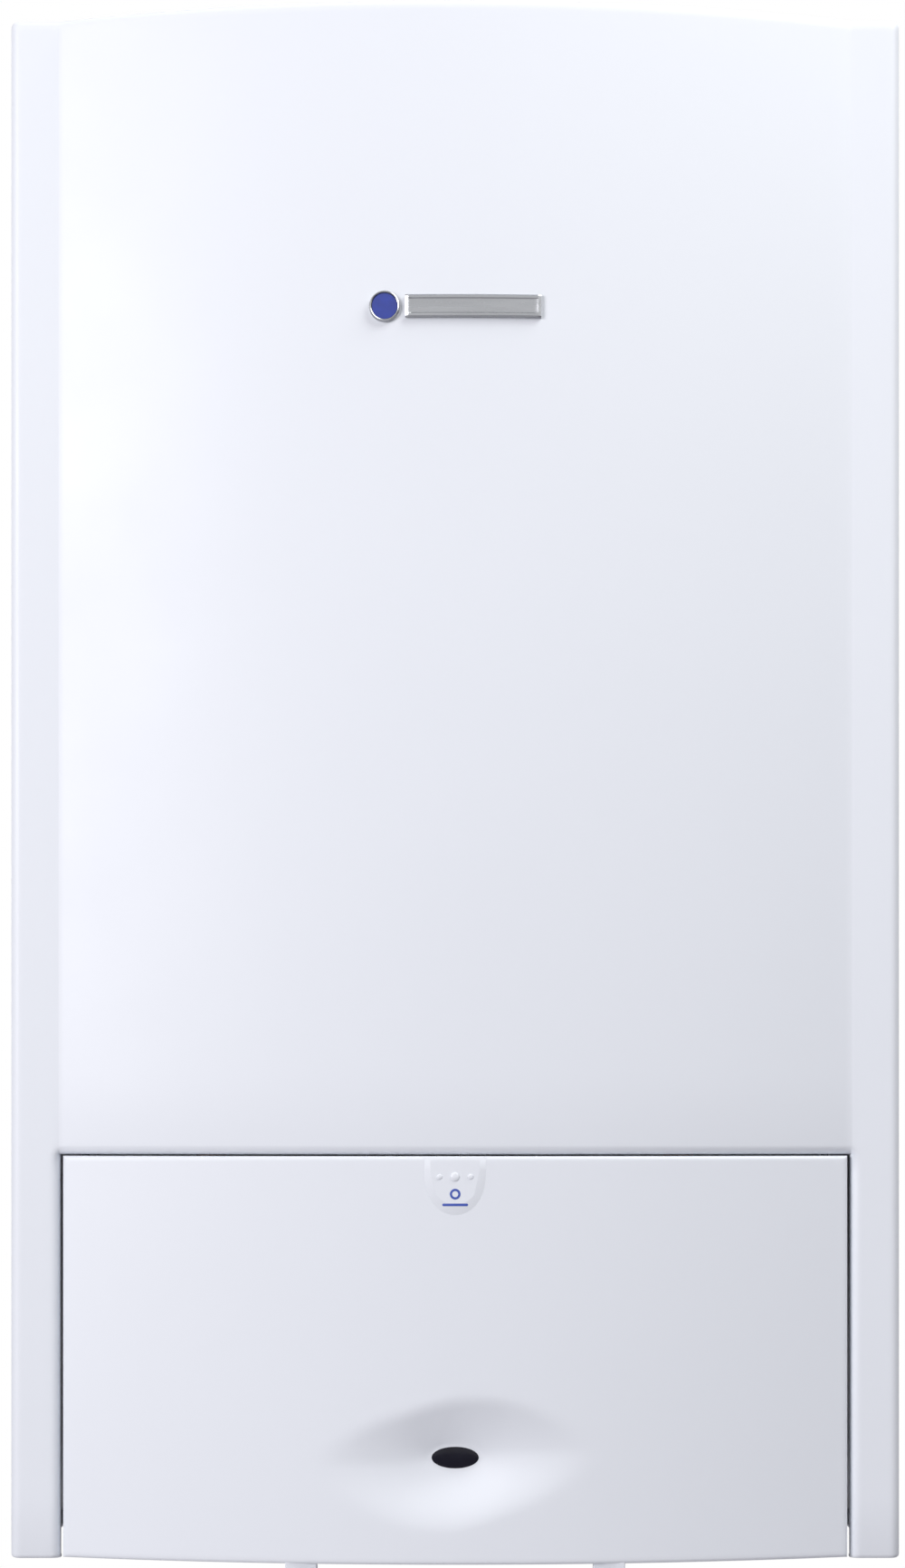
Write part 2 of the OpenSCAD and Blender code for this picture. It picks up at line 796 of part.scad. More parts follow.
// Pins of the flap hinge
module hinge_pins() {
    color(steel_grey) at_wall() for (side = [-1, 1])
        rod_x([side * hinge_x - hinge_arm_w / 2, hinge_y, hinge_up], hinge_pin_r, hinge_arm_w);
}

// Side outline of the control box in the YZ plane, drawn in by inset
module box_outline(inset, front) {
    rotate([90, 0, 90]) translate([0, 0, -box_w / 2 + inset]) linear_extrude(box_w - 2 * inset) polygon([
        [front, box_low + inset],
        [box_back_y - inset, box_low + inset],
        [box_back_y - inset, box_top - 1.3 * box_slope - inset / 2],
        [box_back_y - box_slope, box_top - inset],
        [front, box_top - inset]
    ]);
}

// Housing of the control box, open towards the facia
module control_box() {
    color(box_black) at_wall() difference() {
        union() {
            difference() {
                box_outline(0, box_front_y);
                box_outline(box_wall, box_front_y - cut);
            }
            for (side = [-1, 1]) translate([side * hinge_x, 0, 0]) difference() {
                union() {
                    rod_x([-ear_w / 2, hinge_y, hinge_up], ear_r, ear_w);
                    block([-ear_w / 2, hinge_y, hinge_up - knuckle_r / 2],
                        [ear_w / 2, box_front_y + 8, hinge_up + knuckle_r / 2]);
                    block([-ear_w / 2, box_front_y, hinge_up], [ear_w / 2, box_front_y + 8, box_low + 1]);
                }
                rod_x([-ear_w / 2 - cut, hinge_y, hinge_up], hinge_pin_r, ear_w + 2 * cut);
            }
            for (side = [-1, 1])
                rod_x([side > 0 ? box_w / 2 - box_wall - 6 : -box_w / 2 + box_wall - 2 , swing_y, swing_up],
                    swing_pin_r + 3, 8);
        }
        for (side = [-1, 1])
            rod_x([side * box_w / 2 - 12, swing_y, swing_up], swing_pin_r + run_gap, 24);
        rod_y([120, box_back_y - box_wall - cut, 60], 7, box_wall + 2 * cut);
    }
}

// Front plate of the control box
module facia() {
    color([0.30, 0.31, 0.33]) at_wall() difference() {
        union() {
            block([-box_w / 2, facia_y, box_low], [box_w / 2, box_front_y, box_top]);
            rod_y([0, facia_y - latch_boss_l, striker_up], latch_boss_r, latch_boss_l + cut);
        }
        rod_y([0, facia_y - latch_boss_l - cut, striker_up], plunger_r + run_gap, latch_boss_l + facia_t + 2 * cut);
        for (x = [heating_knob_x, hot_water_knob_x])
            rod_y([x, facia_y - cut, controls_up], knob_shaft_r + run_gap, facia_t + 2 * cut);
        for (x = [reset_x, eco_x])
            rod_y([x, facia_y - cut, button_up], button_r + rest_gap, facia_t + 2 * cut);
        block([rocker_x - rocker_w / 2 - rest_gap, facia_y - cut, controls_up - rocker_h / 2 - rest_gap],
            [rocker_x + rocker_w / 2 + rest_gap, box_front_y + cut, controls_up + rocker_h / 2 + rest_gap]);
        block([window_x - window_w / 2, facia_y - cut, controls_up - window_h / 2],
            [window_x + window_w / 2, box_front_y + cut, controls_up + window_h / 2]);
        rod_y([gauge_x, facia_y - cut, controls_up], gauge_r - 4, facia_t + 2 * cut);
        rod_y([0, facia_y - cut, dish_up], light_pipe_r, facia_t + 2 * cut);
    }
}

// Circuit board with its main components
module circuit_board() {
    low = box_low + 20;
    high = box_top - 45;
    left = -box_w / 2 + 14;
    back = board_y + board_t;
    color("seagreen") at_wall() difference() {
        union() {
            block([left, board_y, low], [gauge_x - gauge_r - 6, back, high]);
            block([left + 23, back, low + 10], [left + 68, back + 24, low + 45]);
            block([left + 83, back, low + 8], [left + 103, back + 16, low + 24]);
            block([left + 113, back, low + 8], [left + 133, back + 16, low + 24]);
            rod_y([left + 158, back - cut, low + 20], 8, 22 + cut);
            rod_y([left + 181, back - cut, low + 20], 8, 22 + cut);
            block([window_x - 19, back, low + 10], [window_x + 11, back + 5, low + 40]);
            block([left + 23, back, high - 22], [window_x + 31, back + 12, high - 10]);
        }
        for (x = [heating_knob_x, hot_water_knob_x])
            rod_y([x, board_y - cut, controls_up], knob_shaft_r + 1, board_t + 14);
    }
}

// Window over the display
module display_window() {
    color("dimgray") at_wall() union() {
        block([window_x - window_w / 2 + 0.1, facia_y + 0.5, controls_up - window_h / 2 + 0.1],
            [window_x + window_w / 2 - 0.1, box_front_y, controls_up + window_h / 2 - 0.1]);
        block([window_x - window_w / 2 - 3, box_front_y, controls_up - window_h / 2 - 3],
            [window_x + window_w / 2 + 3, box_front_y + 1.5, controls_up + window_h / 2 + 3]);
    }
}

// Clear rod that carries the lamp's light to the lens
module light_pipe() {
    tip = apex_y + dish_depth + flap_wall + 1 + rest_gap;
    color("lightgray") at_wall() rod_y([0, tip, dish_up], light_pipe_r, board_y - tip);
}

// Pressure gauge with a plain dial
module pressure_gauge() {
    color("gainsboro") at_wall() difference() {
        union() {
            rod_y([gauge_x, facia_y - 4, controls_up], gauge_r, 4);
            rod_y([gauge_x, facia_y, controls_up], gauge_r - 4.3, 24);
        }
        rod_y([gauge_x, facia_y - 4 - cut, controls_up], gauge_r - 2, 3 + cut);
    }
}

// Needle of the pressure gauge
module gauge_needle() {
    face = facia_y - 1 - rest_gap;
    color("black") at_wall() {
        rod_y([gauge_x, face - 1.2, controls_up], 2.5, 1.2);
        block([gauge_x - 0.6, face - 0.9, controls_up], [gauge_x + 0.6, face - 0.2, controls_up + gauge_r - 6]);
    }
}

// Knob with grip ribs, a pointer groove and its shaft
module knob(x) {
    face = facia_y - rest_gap - knob_l;
    ribs = 18;
    color("lightslategray") at_wall() translate([x, 0, controls_up]) difference() {
        union() {
            rod_y([0, face, 0], knob_r - 3, knob_l);
            rod_y([0, face + knob_l - 4, 0], knob_r, 4);
            rod_y([0, face + 1, 0], knob_shaft_r, board_y - rest_gap - face - 1);
        }
        for (i = [0 : ribs - 1]) rotate([0, i * 360 / ribs, 0]) rod_y([knob_r - 2.2, face - cut, 0], 1.6, knob_l - 4 + cut);
        block([-0.8, face - cut, 2], [0.8, face + 0.8, knob_r]);
    }
}

module heating_knob() {
    knob(heating_knob_x);
}

module hot_water_knob() {
    knob(hot_water_knob_x);
}

// Rocker of the mains switch
module rocker_switch() {
    color("whitesmoke") at_wall() intersection() {
        block([rocker_x - rocker_w / 2, facia_y - 4, controls_up - rocker_h / 2],
            [rocker_x + rocker_w / 2, box_front_y + 3, controls_up + rocker_h / 2]);
        rod_x([rocker_x - rocker_w, rocker_axis_y, controls_up], rocker_h / 2 - 0.05, 2 * rocker_w);
    }
}

// Round push button with a collar that keeps it in the facia
module button(x) {
    color("steelblue") at_wall() {
        rod_y([x, facia_y - button_out, button_up], button_r, button_out + facia_t + rest_gap);
        rod_y([x, box_front_y + rest_gap, button_up], button_r + 1.5, 2);
        rod_y([x, box_front_y + 2 + rest_gap, button_up], 2, board_gap - 2 - 2 * rest_gap - button_travel);
    }
}

module reset_button() {
    button(reset_x);
}

module eco_button() {
    button(eco_x);
}

// Sprung plunger of the touch latch
module latch_plunger() {
    color("lightgray") at_wall()
        rod_y([0, plunger_tip_y, striker_up], plunger_r, facia_y - plunger_tip_y + facia_t);
}

// Rail on the wall, with an upturned hook
module wall_bracket() {
    color(steel_grey) at_wall() difference() {
        union() {
            block([-rail_w / 2, -rail_t, rail_z - rail_h / 2], [rail_w / 2, 0, rail_z + rail_h / 2]);
            block([-rail_w / 2, hook_y - rail_t, rail_z + rail_h / 2 - rail_t], [rail_w / 2, 0, rail_z + rail_h / 2]);
            block([-rail_w / 2, hook_y - rail_t, rail_z + rail_h / 2 - rail_t],
                [rail_w / 2, hook_y, rail_z + rail_h / 2 + hook_up]);
        }
        for (side = [-1, 1])
            rod_y([side * rail_pitch / 2, -rail_t - cut, rail_z], rail_hole_r, rail_t + 2 * cut);
    }
}

// Rubber buffers that keep the lower end off the wall
module wall_buffers() {
    color(rubber_dark) at_wall() for (side = [-1, 1])
        rod_y([side * rail_pitch / 2, -standoff, buffer_up], buffer_r, standoff);
}

// Sheet tray behind everything, with its hanging hook and the exchanger's arms
module back_frame() {
    hang_z = rail_z + rail_h / 2;
    leg_y = hook_y + rest_gap;
    color(steel_grey) at_wall() {
        block([-frame_x, panel_y, frame_low], [frame_x, panel_y + frame_t, frame_top]);
        for (side = [0, 1]) mirror([side, 0, 0])
            block([frame_x - frame_t, panel_y - frame_flange, frame_low], [frame_x, panel_y + frame_t, frame_top]);
        block([-frame_x, panel_y - frame_flange, frame_top - frame_t], [frame_x, panel_y + frame_t, frame_top]);
        block([-rail_w / 2, panel_y, hang_z + hook_up + 4],
            [rail_w / 2, leg_y + frame_t, hang_z + hook_up + 4 + frame_t]);
        block([-rail_w / 2, leg_y, hang_z + rest_gap], [rail_w / 2, leg_y + frame_t, hang_z + hook_up + 4 + frame_t]);
        block([exchanger_left - bracket_t, exchanger_mid_y, bracket_low], [exchanger_left, panel_y, bracket_up]);
        block([exchanger_right, exchanger_mid_y, bracket_low], [exchanger_right + bracket_t, panel_y, bracket_up]);
    }
}

// Plate over the top, with the flue hole and a turned-down rim
module top_plate() {
    z1 = case_h - top_plate_drop;
    front = front_y + sheet + 6;
    rim = 12;
    color(steel_grey) at_wall() difference() {
        union() {
            block([-frame_x, front, z1 - frame_t], [frame_x, panel_y + frame_t, z1]);
            block([-frame_x, front, z1 - rim], [frame_x, front + frame_t, z1]);
            for (side = [0, 1]) mirror([side, 0, 0])
                block([frame_x - frame_t, front, z1 - rim], [frame_x, panel_y - frame_flange - rest_gap, z1]);
        }
        rod_z([0, -flue_y, z1 - frame_t - cut], collar_r - collar_wall, frame_t + 2 * cut);
    }
}

// Plate under the boiler that the pipe tails pass through, with the control box's arms
module connection_plate() {
    color(steel_grey) at_wall() {
        difference() {
            union() {
                block([-plate_x, plate_y, plate_low], [plate_x, panel_y, plate_low + plate_t]);
                for (side = [0, 1]) mirror([side, 0, 0]) {
                    block([arm_x, swing_y - 8, plate_low], [arm_x + arm_t, panel_y, plate_low + 22]);
                    block([-plate_x, panel_y - frame_t, plate_low], [plate_x, panel_y, plate_low + 20]);
                }
            }
            for (x = [flow_x, gas_x, return_x])
                rod_z([x, -tail_y, plate_low - cut], big_tail_r + tail_gap, plate_t + 2 * cut);
            for (x = [hot_x, cold_x])
                rod_z([x, -tail_y, plate_low - cut], small_tail_r + tail_gap, plate_t + 2 * cut);
            rod_z([trap_x, hose_y, plate_low - cut], hose_r + tail_gap, plate_t + 2 * cut);
            rod_z([relief_x, relief_y, plate_low - cut], small_tail_r + tail_gap, plate_t + 2 * cut);
            for (x = [flow_x, gas_x, return_x])
                rod_y([x, panel_y - frame_t - cut, plate_low + 14], 2.2, frame_t + 2 * cut);
        }
        for (side = [0, 1]) mirror([side, 0, 0])
            rod_x([box_w / 2 - 8, swing_y, swing_up], swing_pin_r, 9 + arm_t / 2);
    }
}

// Foam strip between the chassis and the case
module case_seal() {
    z0 = case_h - top_plate_drop;
    w = 9;
    front = front_y + sheet + 6;
    color("dimgray") at_wall() {
        block([-frame_x, front, z0], [frame_x, front + w, case_h - sheet - rest_gap]);
        for (side = [0, 1]) mirror([side, 0, 0]) {
            block([frame_x - w, front, z0], [frame_x, panel_y, case_h - sheet - rest_gap]);
            block([frame_x, panel_y - frame_flange, frame_low + 4],
                [case_w / 2 - sheet - rest_gap, panel_y - frame_flange + w, z0 - 14]);
        }
    }
}

// Cast block with the combustion chamber and cooling ribs
module heat_exchanger() {
    color(cast_grey) at_wall() difference() {
        block([exchanger_left, exchanger_front_y, exchanger_low], [exchanger_right, -exchanger_back, exchanger_top]);
        block([exchanger_left + chamber_wall, exchanger_front_y + chamber_wall, exchanger_top - chamber_depth],
            [exchanger_right - chamber_wall, -exchanger_back - chamber_wall, exchanger_top + cut]);
        for (i = [0 : 5]) for (side = [0, 1]) translate([exchanger_x, 0, 0]) mirror([side, 0, 0])
            block([exchanger_w / 2 - 5, exchanger_front_y + 12, exchanger_low + 62 + i * 20],
                [exchanger_w / 2 + cut, -exchanger_back - 12, exchanger_low + 72 + i * 20]);
    }
}

// Cleaning cover on the exchanger's front, with its screws
module exchanger_cover() {
    x0 = exchanger_left + 8;
    x1 = exchanger_right - 8;
    z0 = exchanger_low + 12;
    z1 = exchanger_top - 12;
    color([0.5, 0.5, 0.52]) at_wall() {
        block([x0, exchanger_front_y - cover_t, z0], [x1, exchanger_front_y, z1]);
        for (x = [x0 + 10, exchanger_x, x1 - 10], z = [z0 + 10, (z0 + z1) / 2, z1 - 10])
            if (x != exchanger_x || z != (z0 + z1) / 2)
                rod_y([x, exchanger_front_y - cover_t - 4, z], 5, 5);
        for (z = [z0 + 35 : 30 : z1 - 35])
            block([x0 + 25, exchanger_front_y - cover_t - 5, z], [x1 - 25, exchanger_front_y - cover_t + cut, z + 5]);
    }
}

// Door on top of the chamber that carries the burner
module burner_door() {
    color(cast_grey) at_wall() difference() {
        union() {
            block([exchanger_left, exchanger_front_y, exchanger_top], [exchanger_right, -exchanger_back, door_top - 10]);
            block([exchanger_left + 12, exchanger_front_y + 12, exchanger_top],
                [exchanger_right - 12, -exchanger_back - 12, door_top]);
            block([exchanger_left, exchanger_mid_y, exchanger_top], [exchanger_right, -exchanger_back, door_top - 3]);
        }
        block([spout_x0 + fan_wall, spout_y0 + fan_wall, exchanger_top - cut],
            [spout_x1 - fan_wall, spout_y1 - fan_wall, door_top + cut]);
        for (y = [-20, 20])
            rod_z([electrode_x, exchanger_mid_y + y, exchanger_top - cut], 2.2, door_t + 2 * cut);
    }
}

// Tube burner with its feed neck
module burner() {
    x0 = exchanger_left + chamber_wall + 15;
    x1 = exchanger_right - chamber_wall - 20;
    color(steel_grey) at_wall() difference() {
        union() {
            rod_x([x0, burner_y, burner_up], burner_r, x1 - x0);
            block([spout_x0, burner_y - 20, burner_up], [spout_x1, burner_y + 20, exchanger_top]);
        }
        rod_x([x0 + 1.5, burner_y, burner_up], burner_r - 1.5, x1 - x0 - 3);
        block([spout_x0 + 2, burner_y - 18, burner_up], [spout_x1 - 2, burner_y + 18, exchanger_top + cut]);
    }
}

// Ignition and flame rods in their ceramic sleeves
module electrodes() {
    color("white") at_wall() for (y = [-20, 20]) {
        rod_z([electrode_x, exchanger_mid_y + y, door_top], 5, 14);
        rod_z([electrode_x, exchanger_mid_y + y, exchanger_top - 50], 1.2, 50 + door_t + 22);
    }
}

// Condensate sump under the exchanger, with the flue outlet
module sump() {
    color(box_black) at_wall() difference() {
        union() {
            block([exchanger_left, exchanger_front_y, sump_low], [exchanger_right, -exchanger_back, exchanger_low]);
            block([exchanger_right - cut, -flue_y - sump_arm_d / 2, sump_low],
                [sump_reach, -flue_y + sump_arm_d / 2, exchanger_low]);
        }
        block([exchanger_left + 4, exchanger_front_y + 4, sump_low + 4],
            [exchanger_right - 4, -exchanger_back - 4, exchanger_low - 4]);
        block([exchanger_right - 5, -flue_y - sump_arm_d / 2 + 4, sump_low + 4],
            [sump_reach - 4, -flue_y + sump_arm_d / 2 - 4, exchanger_low - 4]);
        rod_z([duct_x, -flue_y, exchanger_low - 4 - cut], flue_r - flue_wall, 4 + 2 * cut);
        block([exchanger_left + 40, exchanger_front_y + 40, exchanger_low - 4 - cut],
            [exchanger_right - 40, -exchanger_back - 40, exchanger_low + cut]);
    }
}

// Flue duct from the sump up to the adapter
module flue_duct() {
    level = duct_top - flue_bend - socket_overlap - 1;
    color("slategray") at_wall() pipe([
        [duct_x, -flue_y, exchanger_low],
        [duct_x, -flue_y, level],
        [0, -flue_y, level],
        [0, -flue_y, duct_top]
    ], flue_r, flue_wall, flue_bend);
}

// Concentric adapter: inner socket for the flue pipe, outer collar for the air duct
module flue_adapter() {
    z0 = case_h - top_plate_drop;
    socket_low = duct_top - socket_overlap;
    bore = flue_r + socket_gap;
    outer = bore + 2.5;
    inner_collar = collar_r - collar_wall;
    color("gainsboro") at_wall() translate([0, -flue_y, 0]) {
        difference() {
            union() {
                rod_z([0, 0, socket_low], outer, case_h + socket_up - socket_low);
                for (i = [0 : 2]) rotate([0, 0, 90 + i * 120])
                    block([bore + 1, -3, z0], [inner_collar + 1, 3, z0 + 14]);
            }
            rod_z([0, 0, duct_top + socket_stop], bore, case_h + socket_up - duct_top - socket_stop + cut);
            rod_z([0, 0, socket_low - cut], bore, socket_overlap + cut);
            rod_z([0, 0, socket_low], flue_r - flue_wall, socket_overlap + socket_stop + cut);
        }
        ring_z([0, 0, z0], adapter_flange_r, inner_collar, adapter_flange_t);
        ring_z([0, 0, z0], collar_r, inner_collar, case_h + collar_up - z0);
        for (i = [0 : 3]) rotate([0, 0, 45 + i * 90])
            rod_z([collar_r + 7, 0, z0 + adapter_flange_t], 3.5, 2.5);
    }
}

// Volute of the fan
module fan_housing() {
    color(cast_grey) at_wall() difference() {
        union() {
            rod_y([fan_x, fan_front_y, fan_up], fan_r, fan_d);
            block([spout_x0, spout_y0, door_top], [spout_x1, spout_y1, fan_up]);
        }
        rod_y([fan_x, fan_front_y + fan_wall, fan_up], fan_r - fan_wall, fan_d - 2 * fan_wall);
        rod_y([fan_x, fan_front_y - cut, fan_up], 9, fan_wall + 2 * cut);
        rod_y([fan_x, fan_back_y - fan_wall - cut, fan_up], mixer_r - 10, fan_wall + 2 * cut);
        block([spout_x0 + fan_wall, spout_y0 + fan_wall, door_top - cut],
            [spout_x1 - fan_wall, spout_y1 - fan_wall, fan_up]);
    }
}

// Motor on the front of the fan
module fan_motor() {
    color(box_black) at_wall() difference() {
        union() {
            rod_y([fan_x, fan_front_y - fan_motor_l, fan_up], fan_motor_r, fan_motor_l);
            block([fan_x - 12, fan_front_y - fan_motor_l + 6, fan_up - fan_motor_r - 10],
                [fan_x + 12, fan_front_y - 10, fan_up]);
        }
        rod_y([fan_x, fan_front_y - 24, fan_up], fan_shaft_r + run_gap, 24 + cut);
        for (i = [0 : 11]) rotate_about_y(fan_x, fan_up, i * 30)
            block([fan_motor_r - 4, fan_front_y - fan_motor_l + 8, -2], [fan_motor_r + 12, fan_front_y - 12, 2]);
    }
}

// Turns a shape drawn round the origin about an axis along Y
module rotate_about_y(x, z, a) {
    translate([x, 0, z]) rotate([0, a, 0]) children();
}

// Impeller with its blades and shaft
module fan_impeller() {
    y0 = fan_front_y + fan_wall + 4;
    depth = fan_d - 2 * fan_wall - 8;
    color("silver") at_wall() {
        rod_y([fan_x, y0, fan_up], impeller_r, 2.5);
        rod_y([fan_x, y0, fan_up], 12, depth - 4);
        rod_y([fan_x, fan_front_y - 22, fan_up], fan_shaft_r, y0 - fan_front_y + 23);
        for (i = [0 : impeller_blades - 1]) rotate_about_y(fan_x, fan_up, i * 360 / impeller_blades)
            block([20, y0 + 1, -1], [impeller_r - 1, y0 + depth, 1]);
    }
}

// Venturi that mixes gas and air behind the fan
module gas_air_mixer() {
    color(cast_grey) at_wall() difference() {
        union() {
            rod_y([fan_x, fan_back_y, fan_up], mixer_r, mixer_l);
            rod_y([fan_x, fan_back_y, fan_up], mixer_r + 5, 6);
            rod_x([mixer_port_x, gas_in_y, fan_up], upper_gas_r + 3, fan_x - mixer_port_x);
        }
        rod_y([fan_x, fan_back_y - cut, fan_up], mixer_r - 10, mixer_l + 2 * cut);
        rod_x([mixer_port_x - cut, gas_in_y, fan_up], upper_gas_r - pipe_wall, fan_x - mixer_port_x + cut);
    }
}

// Straight intake pipe with a flared mouth
module air_intake_pipe() {
    flare = 8;
    color(box_black) at_wall() translate([fan_x, mixer_back_y, fan_up]) rotate([-90, 0, 0])
        rotate_extrude() polygon([
            [mixer_r - 4, 0],
            [mixer_r, 0],
            [mixer_r, intake_l - 14],
            [mixer_r + flare, intake_l],
            [mixer_r + flare - 4, intake_l],
            [mixer_r - 4, intake_l - 14]
        ]);
}

// Gas valve with its regulator, coils and plug
module gas_valve() {
    x = gas_valve_x;
    y = -gas_valve_y;
    z0 = gas_valve_low;
    color([0.55, 0.56, 0.58]) at_wall() {
        block([x - gas_valve_w / 2, y - gas_valve_d / 2, z0], [x + gas_valve_w / 2, y + gas_valve_d / 2, z0 + gas_valve_h - 12]);
        rod_z([x, y, z0 + gas_valve_h - 12 - cut], 15, 12 + cut);
        rod_y([x - 8, y - gas_valve_d / 2 - 6, z0 + 24], 10, 7);
        block([x - 18, y - gas_valve_d / 2 - 5, z0 + 42], [x + 18, y - gas_valve_d / 2 + cut, z0 + 70]);
    }
}

// Gas pipe from the valve at the plate, and the upper pipe to the mixer
module gas_pipes() {
    level = exchanger_low - 30;
    upper = 600;
    color(brass_gold) at_wall() {
        pipe([
            [gas_x, -tail_y, valve_top],
            [gas_x, -tail_y, level],
            [gas_valve_x, -tail_y, level],
            [gas_valve_x, -gas_valve_y, level],
            [gas_valve_x, -gas_valve_y, gas_valve_low]
        ], big_tail_r, pipe_wall, pipe_bend);
        pipe([
            [gas_valve_x, -gas_valve_y, gas_valve_low + gas_valve_h],
            [gas_valve_x, -gas_valve_y, upper],
            [gas_valve_x, gas_in_y, upper],
            [gas_valve_x, gas_in_y, fan_up],
            [mixer_port_x, gas_in_y, fan_up]
        ], upper_gas_r, pipe_wall, pipe_bend);
    }
}

// Condensate trap under the sump
module condensate_trap() {
    color("ghostwhite") at_wall() difference() {
        union() {
            rod_z([trap_x, trap_y, trap_low + 20], trap_r, trap_h - 20);
            rod_z([trap_x, trap_y, trap_low], hose_r, 20 + cut);
            rod_z([trap_x, trap_y, trap_low + 40], trap_r + 2, 6);
            rod_z([trap_x, trap_y, trap_low + 90], trap_r + 2, 6);
        }
        rod_z([trap_x, trap_y, trap_low + 24], trap_r - 3, trap_h - 28);
        rod_z([trap_x, trap_y, trap_low - cut], hose_r - hose_wall, 26 + cut);
        rod_z([trap_x, trap_y, sump_low - 6], 10, 6 + cut);
    }
}

// Hose from the trap to the condensate tail
module condensate_hose() {
    color("gray") at_wall() {
        pipe([
            [trap_x, trap_y, trap_low],
            [trap_x, trap_y, 36],
            [trap_x, hose_y, 36],
            [trap_x, hose_y, -tail_drop]
        ], hose_r, hose_wall, pipe_bend);
        tail_collar(trap_x, hose_y, hose_r);
    }
}

// Flat round expansion vessel on the back panel
module expansion_vessel() {
    color("firebrick") at_wall() difference() {
        union() {
            translate([0, panel_y, vessel_up]) rotate([90, 0, 0]) rotate_extrude($fn = 120) union() {
                square([vessel_r - vessel_edge, vessel_d]);
                translate([0, vessel_edge]) square([vessel_r, vessel_d - 2 * vessel_edge]);
                for (y = [vessel_edge, vessel_d - vessel_edge]) translate([vessel_r - vessel_edge, y]) circle(vessel_edge);
            }
            rod_y([0, panel_y - vessel_d / 2 - 2, vessel_up], vessel_r + 2, 4);
            rod_z([vessel_hose_x, vessel_hose_y, vessel_hose_top()], 9, 30);
        }
        rod_z([vessel_hose_x, vessel_hose_y, vessel_hose_top() - cut], 4, 8 + cut);
    }
}
function vessel_hose_top() = vessel_up - vessel_r - 6;

// Flexible hose from the vessel to the pump's port
module vessel_hose() {
    color(rubber_dark) at_wall() pipe([
        [vessel_hose_x, vessel_hose_y, vessel_hose_top()],
        [vessel_hose_x, vessel_hose_y, pump_up + 16],
        [pump_port_x, vessel_hose_y, pump_up + 16]
    ], 6, 1.5, pipe_bend);
}

// Volute of the pump with its necks
module pump_body() {
    x = return_x;
    neck = 13;
    color(cast_grey) at_wall() difference() {
        union() {
            rod_y([x, pump_front_y, pump_up], pump_r, pump_l);
            rod_z([x, -tail_y, valve_top], neck, pump_up - valve_top);
            rod_z([x, -tail_y, pump_up], neck, pump_r + 6);
            rod_x([pump_port_x, vessel_hose_y, pump_up + 16], 8, 30);
            rod_x([plates_x1, -66, pump_up - 12], 7, return_x - plates_x1 - 10);
        }
        rod_y([x, pump_front_y - cut, pump_up], pump_impeller_r + 2.5, pump_l - 10 + cut);
        rod_z([x, -tail_y, valve_top - cut], water_r, pump_up - valve_top);
        rod_z([x, -tail_y, pump_up], water_r, pump_r + 6 + cut);
    }
}

// Motor of the pump, ahead of its volute
module pump_motor() {
    x = return_x;
    color([0.25, 0.27, 0.30]) at_wall() difference() {
        union() {
            rod_y([x, motor_front_y, pump_up], pump_motor_r - 6, pump_motor_l);
            rod_y([x, pump_front_y - 12, pump_up], pump_motor_r, 12);
            block([x - 26, motor_front_y + 8, pump_up + 10], [x + 26, pump_front_y - 20, pump_up + pump_motor_r + 6]);
        }
        rod_y([x, pump_front_y - 40, pump_up], pump_shaft_r + run_gap, 40 + cut);
    }
}

// Impeller of the pump with its shaft
module pump_impeller() {
    y0 = pump_front_y + 6;
    depth = pump_l - 22;
    color("ivory") at_wall() {
        rod_y([return_x, y0, pump_up], pump_impeller_r, 4);
        rod_y([return_x, y0, pump_up], 9, depth);
        rod_y([return_x, pump_front_y - 38, pump_up], pump_shaft_r, y0 - pump_front_y + 39);
        for (i = [0 : 5]) rotate_about_y(return_x, pump_up, i * 60)
            block([6, y0 + 3, -1.5], [pump_impeller_r - 0.5, y0 + depth, 1.5]);
    }
}

// Water block with the diverter seat, relief branch and ports
module water_block() {
    color(brass_gold) at_wall() difference() {
        union() {
            block([block_x0, lever_y + 2, valve_top], [block_x1, block_y1, block_top]);
            block([block_x0, block_y0, block_step], [block_x1, block_y1, block_top]);
            rod_x([block_x1 - cut, block_y0 + 12, 98], 9, plates_x0 - block_x1 + cut);
            rod_x([relief_x - 12, relief_y, relief_up], 13, block_x0 - relief_x + 12 + cut);
            rod_z([relief_x, relief_y, plate_low + plate_t + 6], 10, relief_up - plate_low - plate_t - 6);
        }
        rod_z([stem_x, stem_y, block_top - 30], stem_r + run_gap, 30 + cut);
        rod_z([stem_x, stem_y, block_top - 42], stem_r + 7, 24);
    }
}

// Motor head that moves the diverter's stem
module diverter_motor() {
    h = 52;
    color("darkslategray") at_wall() difference() {
        union() {
            block([stem_x - 17, stem_y - 22, diverter_low], [stem_x + 17, stem_y + 22, diverter_low + h]);
            for (y = [-16, 16]) rod_z([stem_x, stem_y + y, block_top], 4, diverter_low - block_top + cut);
        }
        rod_z([stem_x, stem_y, diverter_low - cut], stem_r + run_gap, 26 + cut);
    }
}

// Stem of the diverter with its valve disc
module diverter_stem() {
    color("silver") at_wall() {
        rod_z([stem_x, stem_y, block_top - 34], stem_r, diverter_low - block_top + 34 + 18 - stem_travel);
        rod_z([stem_x, stem_y, block_top - 40], stem_r + 5, 8);
    }
}

// Turning cap of the safety valve
module safety_valve_cap() {
    x1 = relief_x - 12 - rest_gap;
    color(signal_red) at_wall() difference() {
        rod_x([x1 - 14, relief_y, relief_up], 13, 14);
        for (i = [0 : 7]) translate([0, relief_y, relief_up]) rotate([i * 45, 0, 0])
            rod_x([x1 - 15, 0, 14], 3, 12);
    }
}

